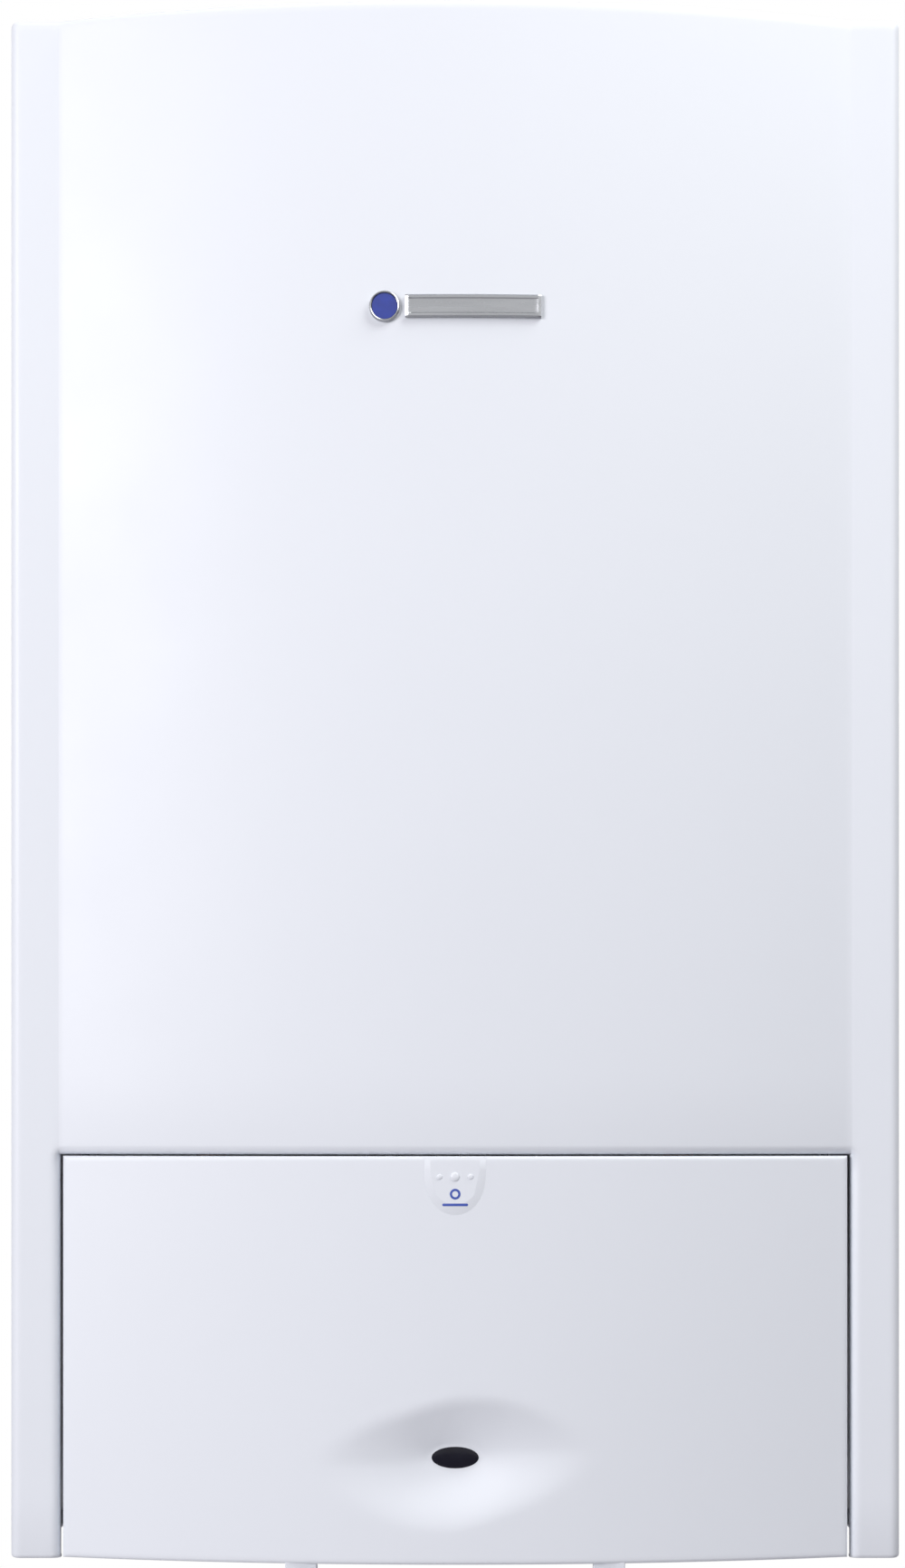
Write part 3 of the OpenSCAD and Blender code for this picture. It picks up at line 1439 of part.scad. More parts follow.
// Stack of pressed plates between two end plates
module plate_exchanger() {
    end_t = 4;
    pitch = (plates_w - 2 * end_t) / plates_n;
    color(steel_grey) at_wall() {
        block([plates_x0, plates_y0, plates_low], [plates_x0 + end_t, plates_y0 + plates_d, plates_low + plates_h]);
        block([plates_x1 - end_t, plates_y0, plates_low], [plates_x1, plates_y0 + plates_d, plates_low + plates_h]);
        block([plates_x0 + end_t, plates_y0 + 2, plates_low],
            [plates_x1 - end_t, plates_y0 + plates_d - 2, plates_low + plates_h]);
        for (i = [0 : plates_n - 1])
            block([plates_x0 + end_t + (i + 0.25) * pitch, plates_y0 + 1, plates_low],
                [plates_x0 + end_t + (i + 0.65) * pitch, plates_y0 + plates_d - 1, plates_low + plates_h]);
    }
}

// Collar that stops a pipe pushed over a tail
module tail_collar(x, y, r) {
    ring_z([x, y, tail_collar_low], r + 2.5, r - 0.5, tail_collar_h);
}

// Copper pipes: flow, return, hot water and cold water
module water_pipes() {
    flow_level = sump_low - 42;
    return_level = sump_low - 28;
    port_y = (plates_y0 * 2 + plates_d) / 2;
    color(copper_red) at_wall() {
        pipe([
            [exchanger_left, -150, exchanger_low + 40],
            [flow_x - 12, -150, exchanger_low + 40],
            [flow_x - 12, -150, flow_level],
            [flow_x - 12, -48, flow_level],
            [flow_x - 12, -48, block_top]
        ], water_r, pipe_wall, water_r + 2);
        pipe([
            [return_x, -tail_y, pump_up + pump_r + 6],
            [return_x, -tail_y, return_level],
            [return_x, -215, return_level],
            [return_x, -215, exchanger_low + 35],
            [exchanger_right, -215, exchanger_low + 35]
        ], water_r, pipe_wall, pipe_bend);
        pipe([
            [hot_x, -tail_y, -tail_drop],
            [hot_x, -tail_y, 38],
            [hot_x, port_y, 38],
            [hot_x + 20, port_y, 38],
            [hot_x + 20, port_y, plates_low]
        ], small_tail_r, pipe_wall, 9);
        tail_collar(hot_x, -tail_y, small_tail_r);
        pipe([
            [cold_x, -tail_y, valve_top],
            [cold_x, -tail_y, 62],
            [cold_x - 22, -tail_y, 62],
            [cold_x - 22, port_y, 62],
            [plates_x1 - 15, port_y, 62],
            [plates_x1 - 15, port_y, plates_low]
        ], small_tail_r, pipe_wall, 9);
    }
}

// Isolation valves of the flow, gas, cold and return tails
module isolation_valves() {
    z0 = plate_low + plate_t;
    color(brass_gold) at_wall() {
        for (x = [flow_x, gas_x, return_x]) difference() {
            union() {
                rod_z([x, -tail_y, z0], valve_r, valve_top - z0);
                rod_z([x, -tail_y, -tail_drop], big_tail_r, z0 + tail_drop + cut);
                rod_y([x, lever_y, lever_up], 7, -tail_y - lever_y);
                tail_collar(x, -tail_y, big_tail_r);
            }
            rod_z([x, -tail_y, -tail_drop - cut], big_tail_r - 1.5, valve_top + tail_drop + 2 * cut);
            rod_y([x, lever_y - cut, lever_up], spindle_r + run_gap, 8);
        }
        difference() {
            union() {
                rod_z([cold_x, -tail_y, z0], valve_r - 3, valve_top - z0);
                rod_z([cold_x, -tail_y, -tail_drop], small_tail_r, z0 + tail_drop + cut);
                tail_collar(cold_x, -tail_y, small_tail_r);
            }
            rod_z([cold_x, -tail_y, -tail_drop - cut], small_tail_r - 1.5, valve_top + tail_drop + 2 * cut);
        }
    }
}

// Lever of one isolation valve, upright when the valve is open
module lever(x) {
    y1 = lever_y - rest_gap;
    color(signal_red) at_wall() {
        rod_y([x, y1 - lever_t, lever_up], lever_w / 2 + 2, lever_t);
        block([x - lever_w / 2, y1 - lever_t, lever_up], [x + lever_w / 2, y1, lever_up + lever_l]);
        rod_y([x, y1 - lever_t, lever_up], spindle_r, lever_t + rest_gap + 6);
    }
}

module lever_flow() {
    lever(flow_x);
}

module lever_return() {
    lever(return_x);
}

module lever_gas() {
    lever(gas_x);
}

front_case();
case_screws();
badge_bar();
badge_disc();
flap();
push_pad();
indicator_lens();
flap_striker();
hinge_pins();
control_box();
facia();
circuit_board();
display_window();
light_pipe();
pressure_gauge();
gauge_needle();
heating_knob();
hot_water_knob();
rocker_switch();
reset_button();
eco_button();
latch_plunger();
wall_bracket();
wall_buffers();
back_frame();
top_plate();
connection_plate();
case_seal();
heat_exchanger();
exchanger_cover();
burner_door();
burner();
electrodes();
sump();
flue_duct();
flue_adapter();
fan_housing();
fan_motor();
fan_impeller();
gas_air_mixer();
air_intake_pipe();
gas_valve();
gas_pipes();
condensate_trap();
condensate_hose();
expansion_vessel();
vessel_hose();
pump_body();
pump_motor();
pump_impeller();
water_block();
diverter_motor();
diverter_stem();
safety_valve_cap();
plate_exchanger();
water_pipes();
isolation_valves();
lever_flow();
lever_return();
lever_gas();
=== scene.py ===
# Looks of the wall-hung gas boiler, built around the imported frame.
# Lengths are millimetres until place() turns them into metres. Lamps and noise go by metres.
# Heights called up are measured from the case's lower edge.
import math

import bmesh
import bpy
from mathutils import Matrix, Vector


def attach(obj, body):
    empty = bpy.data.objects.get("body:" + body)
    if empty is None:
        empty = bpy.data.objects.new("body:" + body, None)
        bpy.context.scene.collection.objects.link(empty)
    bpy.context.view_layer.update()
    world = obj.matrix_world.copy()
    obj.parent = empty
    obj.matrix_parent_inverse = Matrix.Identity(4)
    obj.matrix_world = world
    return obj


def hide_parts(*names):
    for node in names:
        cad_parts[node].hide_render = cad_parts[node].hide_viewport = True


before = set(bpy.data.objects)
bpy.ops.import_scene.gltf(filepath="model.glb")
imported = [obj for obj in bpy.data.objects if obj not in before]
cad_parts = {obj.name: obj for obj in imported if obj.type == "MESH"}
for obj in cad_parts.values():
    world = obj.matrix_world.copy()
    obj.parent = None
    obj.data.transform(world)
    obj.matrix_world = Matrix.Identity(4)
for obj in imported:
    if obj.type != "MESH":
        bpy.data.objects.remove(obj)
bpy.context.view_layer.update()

# Sizes and places
RAIL_UP = 700.0
CASE_HALF = 220.0
CASE_TOP = 760.0
CASE_REAR = -16.0
STRIP_Y = -330.0
CORNER_R = 5.0
FOLD_X = 195.7
BOW_R = 653.308
BOW_Y = 293.308
SHEET = 1.2
OPENING_UP = 199.8
ROLL_R = 4.5
RETURN_Y = -322.0
ROLLED_EDGE = 8.0
LOWER_BEND_R = 2.0
TOP_BEND_R = 2.5
TOP_FLANGE = 20.0
BOTTOM_FLANGE = 10.0
FLAP_HALF = 193.9
FLAP_LOW = 0.7
FLAP_TOP = 199.0
FLAP_WALL = 2.5
FLAP_RIM = 5.0
FLAP_EDGE_R = 1.8
DISH_UP = 52.0
DISH_DEPTH = 9.0
DISH_HALF_W = 66.0
DISH_RISE = 28.0
DISH_FALL = 36.0
DISH_POWER = 1.65
DISH_TILT = 3.0
DISH_TILT_X = 25.0
LENS_HALF_W = 11.5
LENS_HALF_H = 5.3
SEAT_HALF_W = LENS_HALF_W + 1.3
SEAT_HALF_H = LENS_HALF_H + 1.1
LENS_FACE = -351.4
HINGE_X = 75.0
PIN_Y = -350.5
PIN_UP = -3.6
PAD_PROUD = 0.06
PAD_HALF = 15.0
BADGE_UP = 611.0
BADGE_X0 = -24.25
BADGE_X1 = 41.75
BADGE_HALF_H = 5.5
DISC_X = -34.25
FACIA_Y = -315.0
CONTROLS_UP = 105.0
BUTTON_UP = 75.0
KNOBS = {"heating_knob": -112.0, "hot_water_knob": -48.0}
BUTTONS = {"reset_button": 30.0, "eco_button": 68.0}
WINDOW_X = 49.0
GAUGE_X = 140.0
ROCKER_X = -165.0
ROCKER_Y = -310.0
ROCKER_R = 10.45
ROCKER_FRONT = -319.0
SCALE_START = 80.0
SCALE_SWEEP = 280.0
GAUGE_SWEEP = 135.0
FAN = (-95.0, 683.0)
PUMP = (130.0, 112.0)
VESSEL = (0.0, 480.0)
FLUE_Y = -135.0
TAIL_Y = -45.0
LARGE_TAILS = (-130.0, 0.0, 130.0)
SMALL_TAIL = 65.0
GAS_PIPE = (-181.0, -250.0)


def place(x, y, up):
    """A point in metres in the row frame, from millimetres above the case's lower edge."""
    return Vector((x / 1000, y / 1000, (up - RAIL_UP) / 1000))


def bow(x, inset=0.0):
    """Depth of the bowed front at x, drawn in by inset."""
    r = BOW_R - inset
    return BOW_Y - math.sqrt(r * r - x * x)


def spread(low, high, count):
    """count + 1 evenly spaced numbers."""
    return [low + (high - low) * i / count for i in range(count + 1)]


def circle(centre, r, count, start=0.0):
    """Evenly spaced points on a circle, the first at an angle of start degrees."""
    angles = [math.radians(start + 360.0 * k / count) for k in range(count)]
    return [(centre[0] + r * math.cos(a), centre[1] + r * math.sin(a)) for a in angles]


# Materials

WHITE = (1.0, 1.0, 1.0, 1.0)
ALONG_X = (0.08, 1.0, 1.0)
ALONG_Z = (1.0, 1.0, 0.08)
MICROMETRE = 0.000001
finishes = {}


def wire(tree, a, b):
    tree.links.new(a, b)


def set_inputs(node, values):
    for name, value in values.items():
        node.inputs[name].default_value = value
    return node


def new_node(tree, kind, values):
    """Adds a shader node and sets the inputs named."""
    return set_inputs(tree.nodes.new(kind), values)


def noise(tree, scale, detail, stretch=None):
    """Noise in object coordinates, scale in repeats per metre."""
    source = tree.nodes.new("ShaderNodeTexCoord").outputs["Object"]
    texture = new_node(tree, "ShaderNodeTexNoise", {"Scale": scale, "Detail": detail, "Roughness": 0.5})
    if stretch:
        mapping = new_node(tree, "ShaderNodeMapping", {"Scale": stretch})
        wire(tree, source, mapping.inputs["Vector"])
        source = mapping.outputs["Vector"]
    wire(tree, source, texture.inputs["Vector"])
    return texture.outputs["Fac"]


def ramp(tree, factor, low, high):
    """Colour ramp over a factor, from one colour to another."""
    node = tree.nodes.new("ShaderNodeValToRGB")
    for element, position, colour in zip(node.color_ramp.elements, (0.3, 0.7), (low, high)):
        element.position = position
        element.color = (*colour, 1.0)
    wire(tree, factor, node.inputs["Fac"])
    return node.outputs["Color"]


def limits(tree, factor, low, high, start=0.3, end=0.7):
    """Maps a factor to the range low to high."""
    values = {"From Min": start, "From Max": end, "To Min": low, "To Max": high}
    node = new_node(tree, "ShaderNodeMapRange", values)
    wire(tree, factor, node.inputs["Value"])
    return node.outputs["Result"]


def bump(tree, height, distance):
    """Bump from a height, distance in metres."""
    node = new_node(tree, "ShaderNodeBump", {"Strength": 1.0, "Distance": distance})
    wire(tree, height, node.inputs["Height"])
    return node.outputs["Normal"]


def maths(tree, operation, a, b):
    """Result of a maths node on two outputs."""
    node = tree.nodes.new("ShaderNodeMath")
    node.operation = operation
    wire(tree, a, node.inputs[0])
    wire(tree, b, node.inputs[1])
    return node.outputs["Value"]


def mixed(tree, factor, a, b):
    """Mix of two shaders."""
    node = tree.nodes.new("ShaderNodeMixShader")
    wire(tree, factor, node.inputs["Fac"])
    wire(tree, a, node.inputs[1])
    wire(tree, b, node.inputs[2])
    return node.outputs["Shader"]


def scaled(colour, k):
    return tuple(min(1.0, c * k) for c in colour)


def make_finish(name, colour, vary, patch, rough, grain, relief, stretch=None,
                metallic=0.0, ior=1.5, coat=0.0, clear=0.0):
    """A procedural finish with a mottled colour, uneven roughness and a fine grain.

    The colour mottles by the share vary. Patch and grain are repeats per metre, and relief is micrometres.
    """
    material = bpy.data.materials.new(name)
    material.use_nodes = True
    tree = material.node_tree
    values = {"Metallic": metallic, "IOR": ior, "Coat Weight": coat, "Coat Roughness": 0.12,
              "Transmission Weight": clear}
    shader = set_inputs(tree.nodes["Principled BSDF"], values)
    patches = noise(tree, patch, 4.0, stretch)
    mottled = ramp(tree, patches, scaled(colour, 1.0 - vary), scaled(colour, 1.0 + vary * 0.5))
    wire(tree, mottled, shader.inputs["Base Color"])
    uneven = limits(tree, noise(tree, patch * 3.1, 3.0, stretch), *rough)
    wire(tree, uneven, shader.inputs["Roughness"])
    grained = bump(tree, noise(tree, grain, 2.0, stretch), relief * MICROMETRE)
    wire(tree, grained, shader.inputs["Normal"])
    finishes[name] = material


make_finish("white_paint", (0.80, 0.835, 0.885), 0.006, 5.0, (0.44, 0.50), 1300.0, 2.5)
make_finish("white_moulding", (0.80, 0.835, 0.885), 0.006, 6.0, (0.45, 0.51), 2200.0, 2.5)
make_finish("pad_plastic", (0.80, 0.835, 0.885), 0.006, 6.0, (0.45, 0.51), 2500.0, 2.0)
make_finish("black_plastic", (0.022, 0.022, 0.024), 0.12, 25.0, (0.42, 0.56), 1500.0, 60.0)
make_finish("facia_plastic", (0.075, 0.08, 0.088), 0.06, 22.0, (0.42, 0.50), 1700.0, 50.0)
make_finish("grey_plastic", (0.30, 0.31, 0.32), 0.05, 26.0, (0.40, 0.50), 1400.0, 40.0)
make_finish("knob_plastic", (0.42, 0.435, 0.45), 0.04, 60.0, (0.30, 0.40), 2600.0, 20.0)
make_finish("lens_plastic", (0.012, 0.012, 0.020), 0.2, 120.0, (0.10, 0.16), 3000.0, 2.0, ior=1.3)
make_finish("clear_plastic", (0.80, 0.85, 0.88), 0.03, 90.0, (0.08, 0.16), 1800.0, 4.0, clear=0.85)
make_finish("badge_chrome", (0.40, 0.41, 0.43), 0.08, 160.0, (0.20, 0.34), 2600.0, 6.0, ALONG_X, metallic=1.0)
make_finish("badge_blue", (0.012, 0.035, 0.30), 0.15, 240.0, (0.16, 0.24), 2400.0, 3.0, coat=0.6)
make_finish("zinc_steel", (0.56, 0.57, 0.58), 0.14, 55.0, (0.34, 0.52), 700.0, 10.0, metallic=1.0)
make_finish("stainless", (0.60, 0.60, 0.59), 0.1, 70.0, (0.24, 0.38), 1600.0, 10.0, ALONG_Z, metallic=1.0)
make_finish("cast_aluminium", (0.48, 0.49, 0.50), 0.12, 34.0, (0.48, 0.64), 1100.0, 120.0, metallic=0.85)
make_finish("brass", (0.62, 0.47, 0.20), 0.14, 60.0, (0.28, 0.44), 1300.0, 30.0, metallic=1.0)
make_finish("copper", (0.72, 0.36, 0.22), 0.20, 28.0, (0.22, 0.40), 900.0, 10.0, metallic=1.0)
make_finish("rubber", (0.018, 0.018, 0.018), 0.2, 50.0, (0.62, 0.78), 1300.0, 60.0)
make_finish("foam", (0.045, 0.045, 0.048), 0.25, 300.0, (0.85, 0.95), 1500.0, 400.0)
make_finish("vessel_paint", (0.40, 0.03, 0.025), 0.08, 20.0, (0.30, 0.42), 800.0, 30.0)
make_finish("red_plastic", (0.50, 0.03, 0.025), 0.08, 60.0, (0.34, 0.44), 1800.0, 20.0)
make_finish("board_green", (0.02, 0.14, 0.06), 0.3, 260.0, (0.28, 0.40), 700.0, 20.0)
make_finish("ceramic", (0.78, 0.74, 0.68), 0.05, 90.0, (0.30, 0.40), 1200.0, 10.0)
make_finish("duct_plastic", (0.62, 0.63, 0.64), 0.04, 20.0, (0.42, 0.52), 1100.0, 30.0)
make_finish("mark_blue", (0.055, 0.10, 0.42), 0.08, 400.0, (0.40, 0.50), 3000.0, 2.0)
make_finish("mark_white", (0.78, 0.80, 0.82), 0.03, 400.0, (0.42, 0.52), 3000.0, 2.0)
make_finish("display_light", (0.55, 0.80, 0.86), 0.05, 400.0, (0.30, 0.40), 3000.0, 2.0)
make_finish("lever_blue", (0.03, 0.10, 0.42), 0.08, 80.0, (0.34, 0.46), 1500.0, 30.0)
make_finish("lever_yellow", (0.72, 0.50, 0.03), 0.08, 80.0, (0.34, 0.46), 1500.0, 30.0)

# CAD nodes that keep their shape, by finish
NODES = {
    "zinc_steel": "case_screws flap_striker hinge_pins wall_bracket back_frame top_plate connection_plate",
    "black_plastic": "control_box pressure_gauge rocker_switch sump fan_motor air_intake_pipe pump_motor"
                     " diverter_motor",
    "grey_plastic": "latch_plunger fan_impeller condensate_hose pump_impeller",
    "cast_aluminium": "heat_exchanger exchanger_cover burner_door fan_housing gas_air_mixer gas_valve",
    "stainless": "burner gas_pipes vessel_hose diverter_stem plate_exchanger",
    "brass": "pump_body water_block isolation_valves",
    "red_plastic": "gauge_needle safety_valve_cap lever_flow",
    "duct_plastic": "flue_duct flue_adapter condensate_trap",
    "facia_plastic": "facia",
    "board_green": "circuit_board",
    "lens_plastic": "display_window",
    "clear_plastic": "light_pipe",
    "rubber": "wall_buffers",
    "foam": "case_seal",
    "ceramic": "electrodes",
    "vessel_paint": "expansion_vessel",
    "copper": "water_pipes",
    "lever_blue": "lever_return",
    "lever_yellow": "lever_gas",
}
for finish, names in NODES.items():
    for node_name in names.split():
        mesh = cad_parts[node_name].data
        mesh.materials.clear()
        mesh.materials.append(finishes[finish])

# Mesh helpers


def add(bm, name, finish, body, *nodes, sharp=32.0, outward=True):
    """Makes a bmesh a piece that rides a body, in place of the nodes named, smooth except at sharp edges."""
    bmesh.ops.remove_doubles(bm, verts=bm.verts[:], dist=0.004)
    bmesh.ops.dissolve_degenerate(bm, edges=bm.edges[:], dist=0.002)
    if outward:
        bmesh.ops.recalc_face_normals(bm, faces=bm.faces[:])
    for vertex in bm.verts:
        vertex.co = place(*vertex.co)
    limit = math.radians(sharp)
    for face in bm.faces:
        face.smooth = True
    for edge in bm.edges:
        edge.smooth = len(edge.link_faces) == 2 and edge.calc_face_angle(0.0) < limit
    mesh = bpy.data.meshes.new(name)
    bm.to_mesh(mesh)
    bm.free()
    mesh.materials.append(finishes[finish])
    piece = bpy.data.objects.new(name, mesh)
    bpy.context.scene.collection.objects.link(piece)
    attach(piece, body)
    if nodes:
        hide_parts(*nodes)


def grid_faces(bm, rows, flip=False):
    """Quads between rows of vertices of the same length."""
    for low, high in zip(rows, rows[1:]):
        for i in range(len(low) - 1):
            corners = [low[i], low[i + 1], high[i + 1], high[i]]
            if len(set(corners)) == 4:
                bm.faces.new(corners[::-1] if flip else corners)


def band(bm, a, b):
    """Quads between two closed rings of vertices."""
    for k in range(len(a)):
        j = (k + 1) % len(a)
        bm.faces.new([a[k], a[j], b[j], b[k]])


def stack(bm, rings):
    """Joins closed rings of vertices in turn and caps both ends."""
    for a, b in zip(rings, rings[1:]):
        band(bm, a, b)
    bm.faces.new(rings[0][::-1])
    bm.faces.new(rings[-1])


def border(rows):
    """The vertices round the edge of a grid, in order."""
    up_right = [row[-1] for row in rows[:-1]]
    down_left = [row[0] for row in rows[:0:-1]]
    return rows[0][:-1] + up_right + rows[-1][:0:-1] + down_left


def turn(bm, axis, centre, profile, sides, base=0.0, wobble=None):
    """Adds a turned solid on an axis y or z through centre. The profile is (radius, place from base)."""

    def spot(r, along, angle):
        reach = r + (wobble(angle, r, along) if wobble and r > 0.001 else 0.0)
        c = centre[0] + reach * math.cos(angle)
        s = centre[1] + reach * math.sin(angle)
        return (c, base + along, s) if axis == "y" else (c, s, base + along)

    rings = []
    for r, along in profile:
        if r < 0.001:
            rings.append([bm.verts.new(spot(0.0, along, 0.0))] * sides)
        else:
            rings.append([bm.verts.new(spot(r, along, 2 * math.pi * k / sides)) for k in range(sides)])
    if profile[0] == profile[-1]:
        rings[-1] = rings[0]
    for a, b in zip(rings, rings[1:]):
        for k in range(sides):
            j = (k + 1) % sides
            corners = list(dict.fromkeys([a[k], a[j], b[j], b[k]]))
            if len(corners) > 2:
                bm.faces.new(corners)
    if rings[0] is not rings[-1]:
        for ring in (rings[0], rings[-1]):
            if ring[0] is not ring[1]:
                bm.faces.new(ring)


def turned(name, finish, body, centre, base, profile, sides, *nodes):
    """Makes a piece of one solid turned about an axis along Y."""
    bm = bmesh.new()
    turn(bm, "y", centre, profile, sides, base)
    add(bm, name, finish, body, *nodes)


def box(bm, low, high, edge):
    """Adds a block between two corners, with its edges rounded."""
    made = bmesh.ops.create_cube(bm, size=1.0)["verts"]
    for vertex in made:
        vertex.co = Vector([(a + b) / 2 + (b - a) * c for a, b, c in zip(low, high, vertex.co)])
    if edge:
        edges = list({e for vertex in made for e in vertex.link_edges})
        bmesh.ops.bevel(bm, geom=edges, offset=edge, segments=2, profile=0.6, affect="EDGES")


def round_rect(cx, cz, w, h, r):
    """Outline of a rectangle with round corners."""
    steps = 6
    points = []
    for sx, sz, start in ((1, 1, 0), (-1, 1, 90), (-1, -1, 180), (1, -1, 270)):
        for k in range(steps + 1):
            a = math.radians(start + 90 * k / steps)
            points.append((cx + sx * (w / 2 - r) + r * math.cos(a), cz + sz * (h / 2 - r) + r * math.sin(a)))
    return points


def rim(bm, x, up, outer, inner, proud, edge):
    """Adds a raised ring on the facia between two rectangles, each of (width, height, corner radius)."""
    front = FACIA_Y - proud
    back = FACIA_Y + 0.5
    pairs = list(zip(round_rect(x, up, *outer), round_rect(x, up, *inner)))
    rings = []
    for share, shift, y in ((0.0, 0.0, back), (0.0, 0.0, front + edge), (0.0, edge, front),
                            (1.0, -edge, front), (1.0, 0.0, front + edge), (1.0, 0.0, back)):
        ring = []
        for (x0, z0), (x1, z1) in pairs:
            t = share + shift / math.hypot(x1 - x0, z1 - z0)
            ring.append(bm.verts.new((x0 + (x1 - x0) * t, y, z0 + (z1 - z0) * t)))
        rings.append(ring)
    for a, b in zip(rings, rings[1:] + rings[:1]):
        band(bm, a, b)


def drawn_in(outline, shrink):
    """An outline with every point moved towards its middle."""
    mx = sum(p[0] for p in outline) / len(outline)
    my = sum(p[1] for p in outline) / len(outline)
    points = []
    for x, y in outline:
        k = 1.0 - shrink / math.hypot(x - mx, y - my)
        points.append((mx + (x - mx) * k, my + (y - my) * k))
    return points


def plate(name, finish, outline, front, back, bevel, *nodes):
    """Makes a plate on the bowed flap with a bevelled front edge. The outline is (x, up) points."""
    bm = bmesh.new()
    rings = []
    for shrink, y in ((bevel, front), (bevel * 0.3, front + bevel * 0.3), (0.0, front + bevel), (0.0, back)):
        rings.append([bm.verts.new((x, bow(x) + y, up)) for x, up in drawn_in(outline, shrink)])
    stack(bm, rings)
    add(bm, name, finish, "flap", *nodes)


# The case front: one bent sheet with a bowed panel, flat strips, rolled edges and flanges

half_columns = [("side", y) for y in (CASE_REAR, -17.5, -70.0, -130.0, -190.0, -250.0, -300.0, -320.0)]
half_columns += [("corner", a) for a in spread(0.0, 90.0, 8)]
half_columns += [("strip", x) for x in (-213.5, -210.0, -205.0, -201.5)]
half_columns += [("roll", t) for t in spread(0.0, 1.0, 6)]
bow_columns = spread(-FOLD_X, FOLD_X, 120)[1:-1]


def case_half_point(column, inset, rolled, flange):
    """Point of the case's left half, with x negative."""
    kind, value = column
    front = STRIP_Y + inset
    if kind == "side":
        return -CASE_HALF + inset, value
    if kind == "corner":
        r = CORNER_R - inset
        if r <= 0.0:
            return -CASE_HALF + inset, front
        a = math.radians(value)
        return -CASE_HALF + CORNER_R - r * math.cos(a), STRIP_Y + CORNER_R - r * math.sin(a)
    if kind == "strip":
        return max(value, -CASE_HALF + inset), front
    a = math.radians(90.0 * value)
    flat_x = -FOLD_X - ROLL_R * (1.0 - value)
    rolled_x = -FOLD_X - ROLL_R + ROLL_R * math.sin(a)
    rolled_y = front if flange else front + ROLL_R * (1.0 - math.cos(a))
    return flat_x + (rolled_x - flat_x) * rolled, front + (rolled_y - front) * rolled


def make_case():
    """The sheet's outer face in rows from the lower flange to the upper one, then thickened."""
    bm = bmesh.new()
    bends = [math.radians(a) for a in (0, 30, 60, 90)]
    # Each row: height, how far it is drawn in, share of the opening's roll, whether it is a flange
    rows = [(0.0, BOTTOM_FLANGE, 1.0, True)]
    for a in bends:
        rows.append((LOWER_BEND_R * (1.0 - math.cos(a)), LOWER_BEND_R * (1.0 - math.sin(a)), 1.0, False))
    rows += [(up, 0.0, 1.0, False) for up in (30.0, 70.0, 110.0, 150.0, 190.0)]
    first_bow_row = len(rows)
    roll_rows = []
    for degrees in spread(90.0, 0.0, 6):
        a = math.radians(degrees)
        roll_rows.append((OPENING_UP + ROLL_R * (1.0 - math.sin(a)), ROLL_R * (1.0 - math.cos(a))))
    rows += [(up, 0.0, draw / ROLL_R, False) for up, draw in roll_rows]
    rows += [(up, 0.0, 0.0, False) for up in spread(240.0, 755.0, 14)]
    for a in bends:
        up = CASE_TOP - TOP_BEND_R * (1.0 - math.sin(a))
        rows.append((up, TOP_BEND_R * (1.0 - math.cos(a)), 0.0, False))
    rows.append((CASE_TOP, TOP_FLANGE, 0.0, True))
    halves = []
    for side in (1, -1):
        made = []
        for up, inset, rolled, flange in rows:
            line = []
            for column in half_columns:
                x, y = case_half_point(column, inset, rolled, flange)
                line.append(bm.verts.new((side * x, y, up)))
            made.append(line)
        halves.append(made)
    left, right = halves
    grid_faces(bm, left)
    grid_faces(bm, right, flip=True)
    bow_rows = []
    for index in range(first_bow_row, len(rows)):
        up, inset, _, flange = rows[index]
        k = index - first_bow_row
        draw = roll_rows[k][1] if k < len(roll_rows) else inset
        line = [left[index][-1]]
        for x in bow_columns:
            y = STRIP_Y + TOP_FLANGE if flange else bow(x, draw)
            line.append(bm.verts.new((x, y, up)))
        line.append(right[index][-1])
        bow_rows.append(line)
    grid_faces(bm, bow_rows)
    corners = [bm.verts.new((side * FOLD_X, RETURN_Y, OPENING_UP)) for side in (-1, 1)]
    inner_row = [bm.verts.new((x, bow(x, ROLLED_EDGE), OPENING_UP)) for x in bow_columns]
    grid_faces(bm, [[corners[0]] + inner_row + [corners[1]], bow_rows[0]])
    for made, corner, side in ((left, corners[0], -1), (right, corners[1], 1)):
        flip = side > 0
        line = [bm.verts.new((side * FOLD_X, RETURN_Y, row[0])) for row in rows[1:first_bow_row]] + [corner]
        pairs = [[made[i][-1], line[i - 1]] for i in range(1, first_bow_row + 1)]
        grid_faces(bm, pairs, flip)
        tip = [made[0][-1], made[1][-1], line[0]]
        bm.faces.new(tip if flip else tip[::-1])
    bmesh.ops.remove_doubles(bm, verts=bm.verts[:], dist=0.01)
    bmesh.ops.dissolve_degenerate(bm, edges=bm.edges[:], dist=0.005)
    bmesh.ops.recalc_face_normals(bm, faces=bm.faces[:])
    front = min(bm.faces, key=lambda f: f.calc_center_median().y)
    if front.normal.y > 0:
        bmesh.ops.reverse_faces(bm, faces=bm.faces[:])
    bmesh.ops.solidify(bm, geom=bm.faces[:], thickness=SHEET)
    add(bm, "case_front_skin", "white_paint", "case", "front_case", outward=False)


# The flap: a bowed moulding with a scooped dish, on two hinge arms


def soft_end(t):
    """Falls evenly from 1 to 0 as t goes from 0 to 1, with a rounded end."""
    edge = 0.16
    if t <= 1.0 - edge:
        return 1.0 - t
    if t < 1.0 + edge:
        return (1.0 + edge - t) ** 2 / (4.0 * edge)
    return 0.0


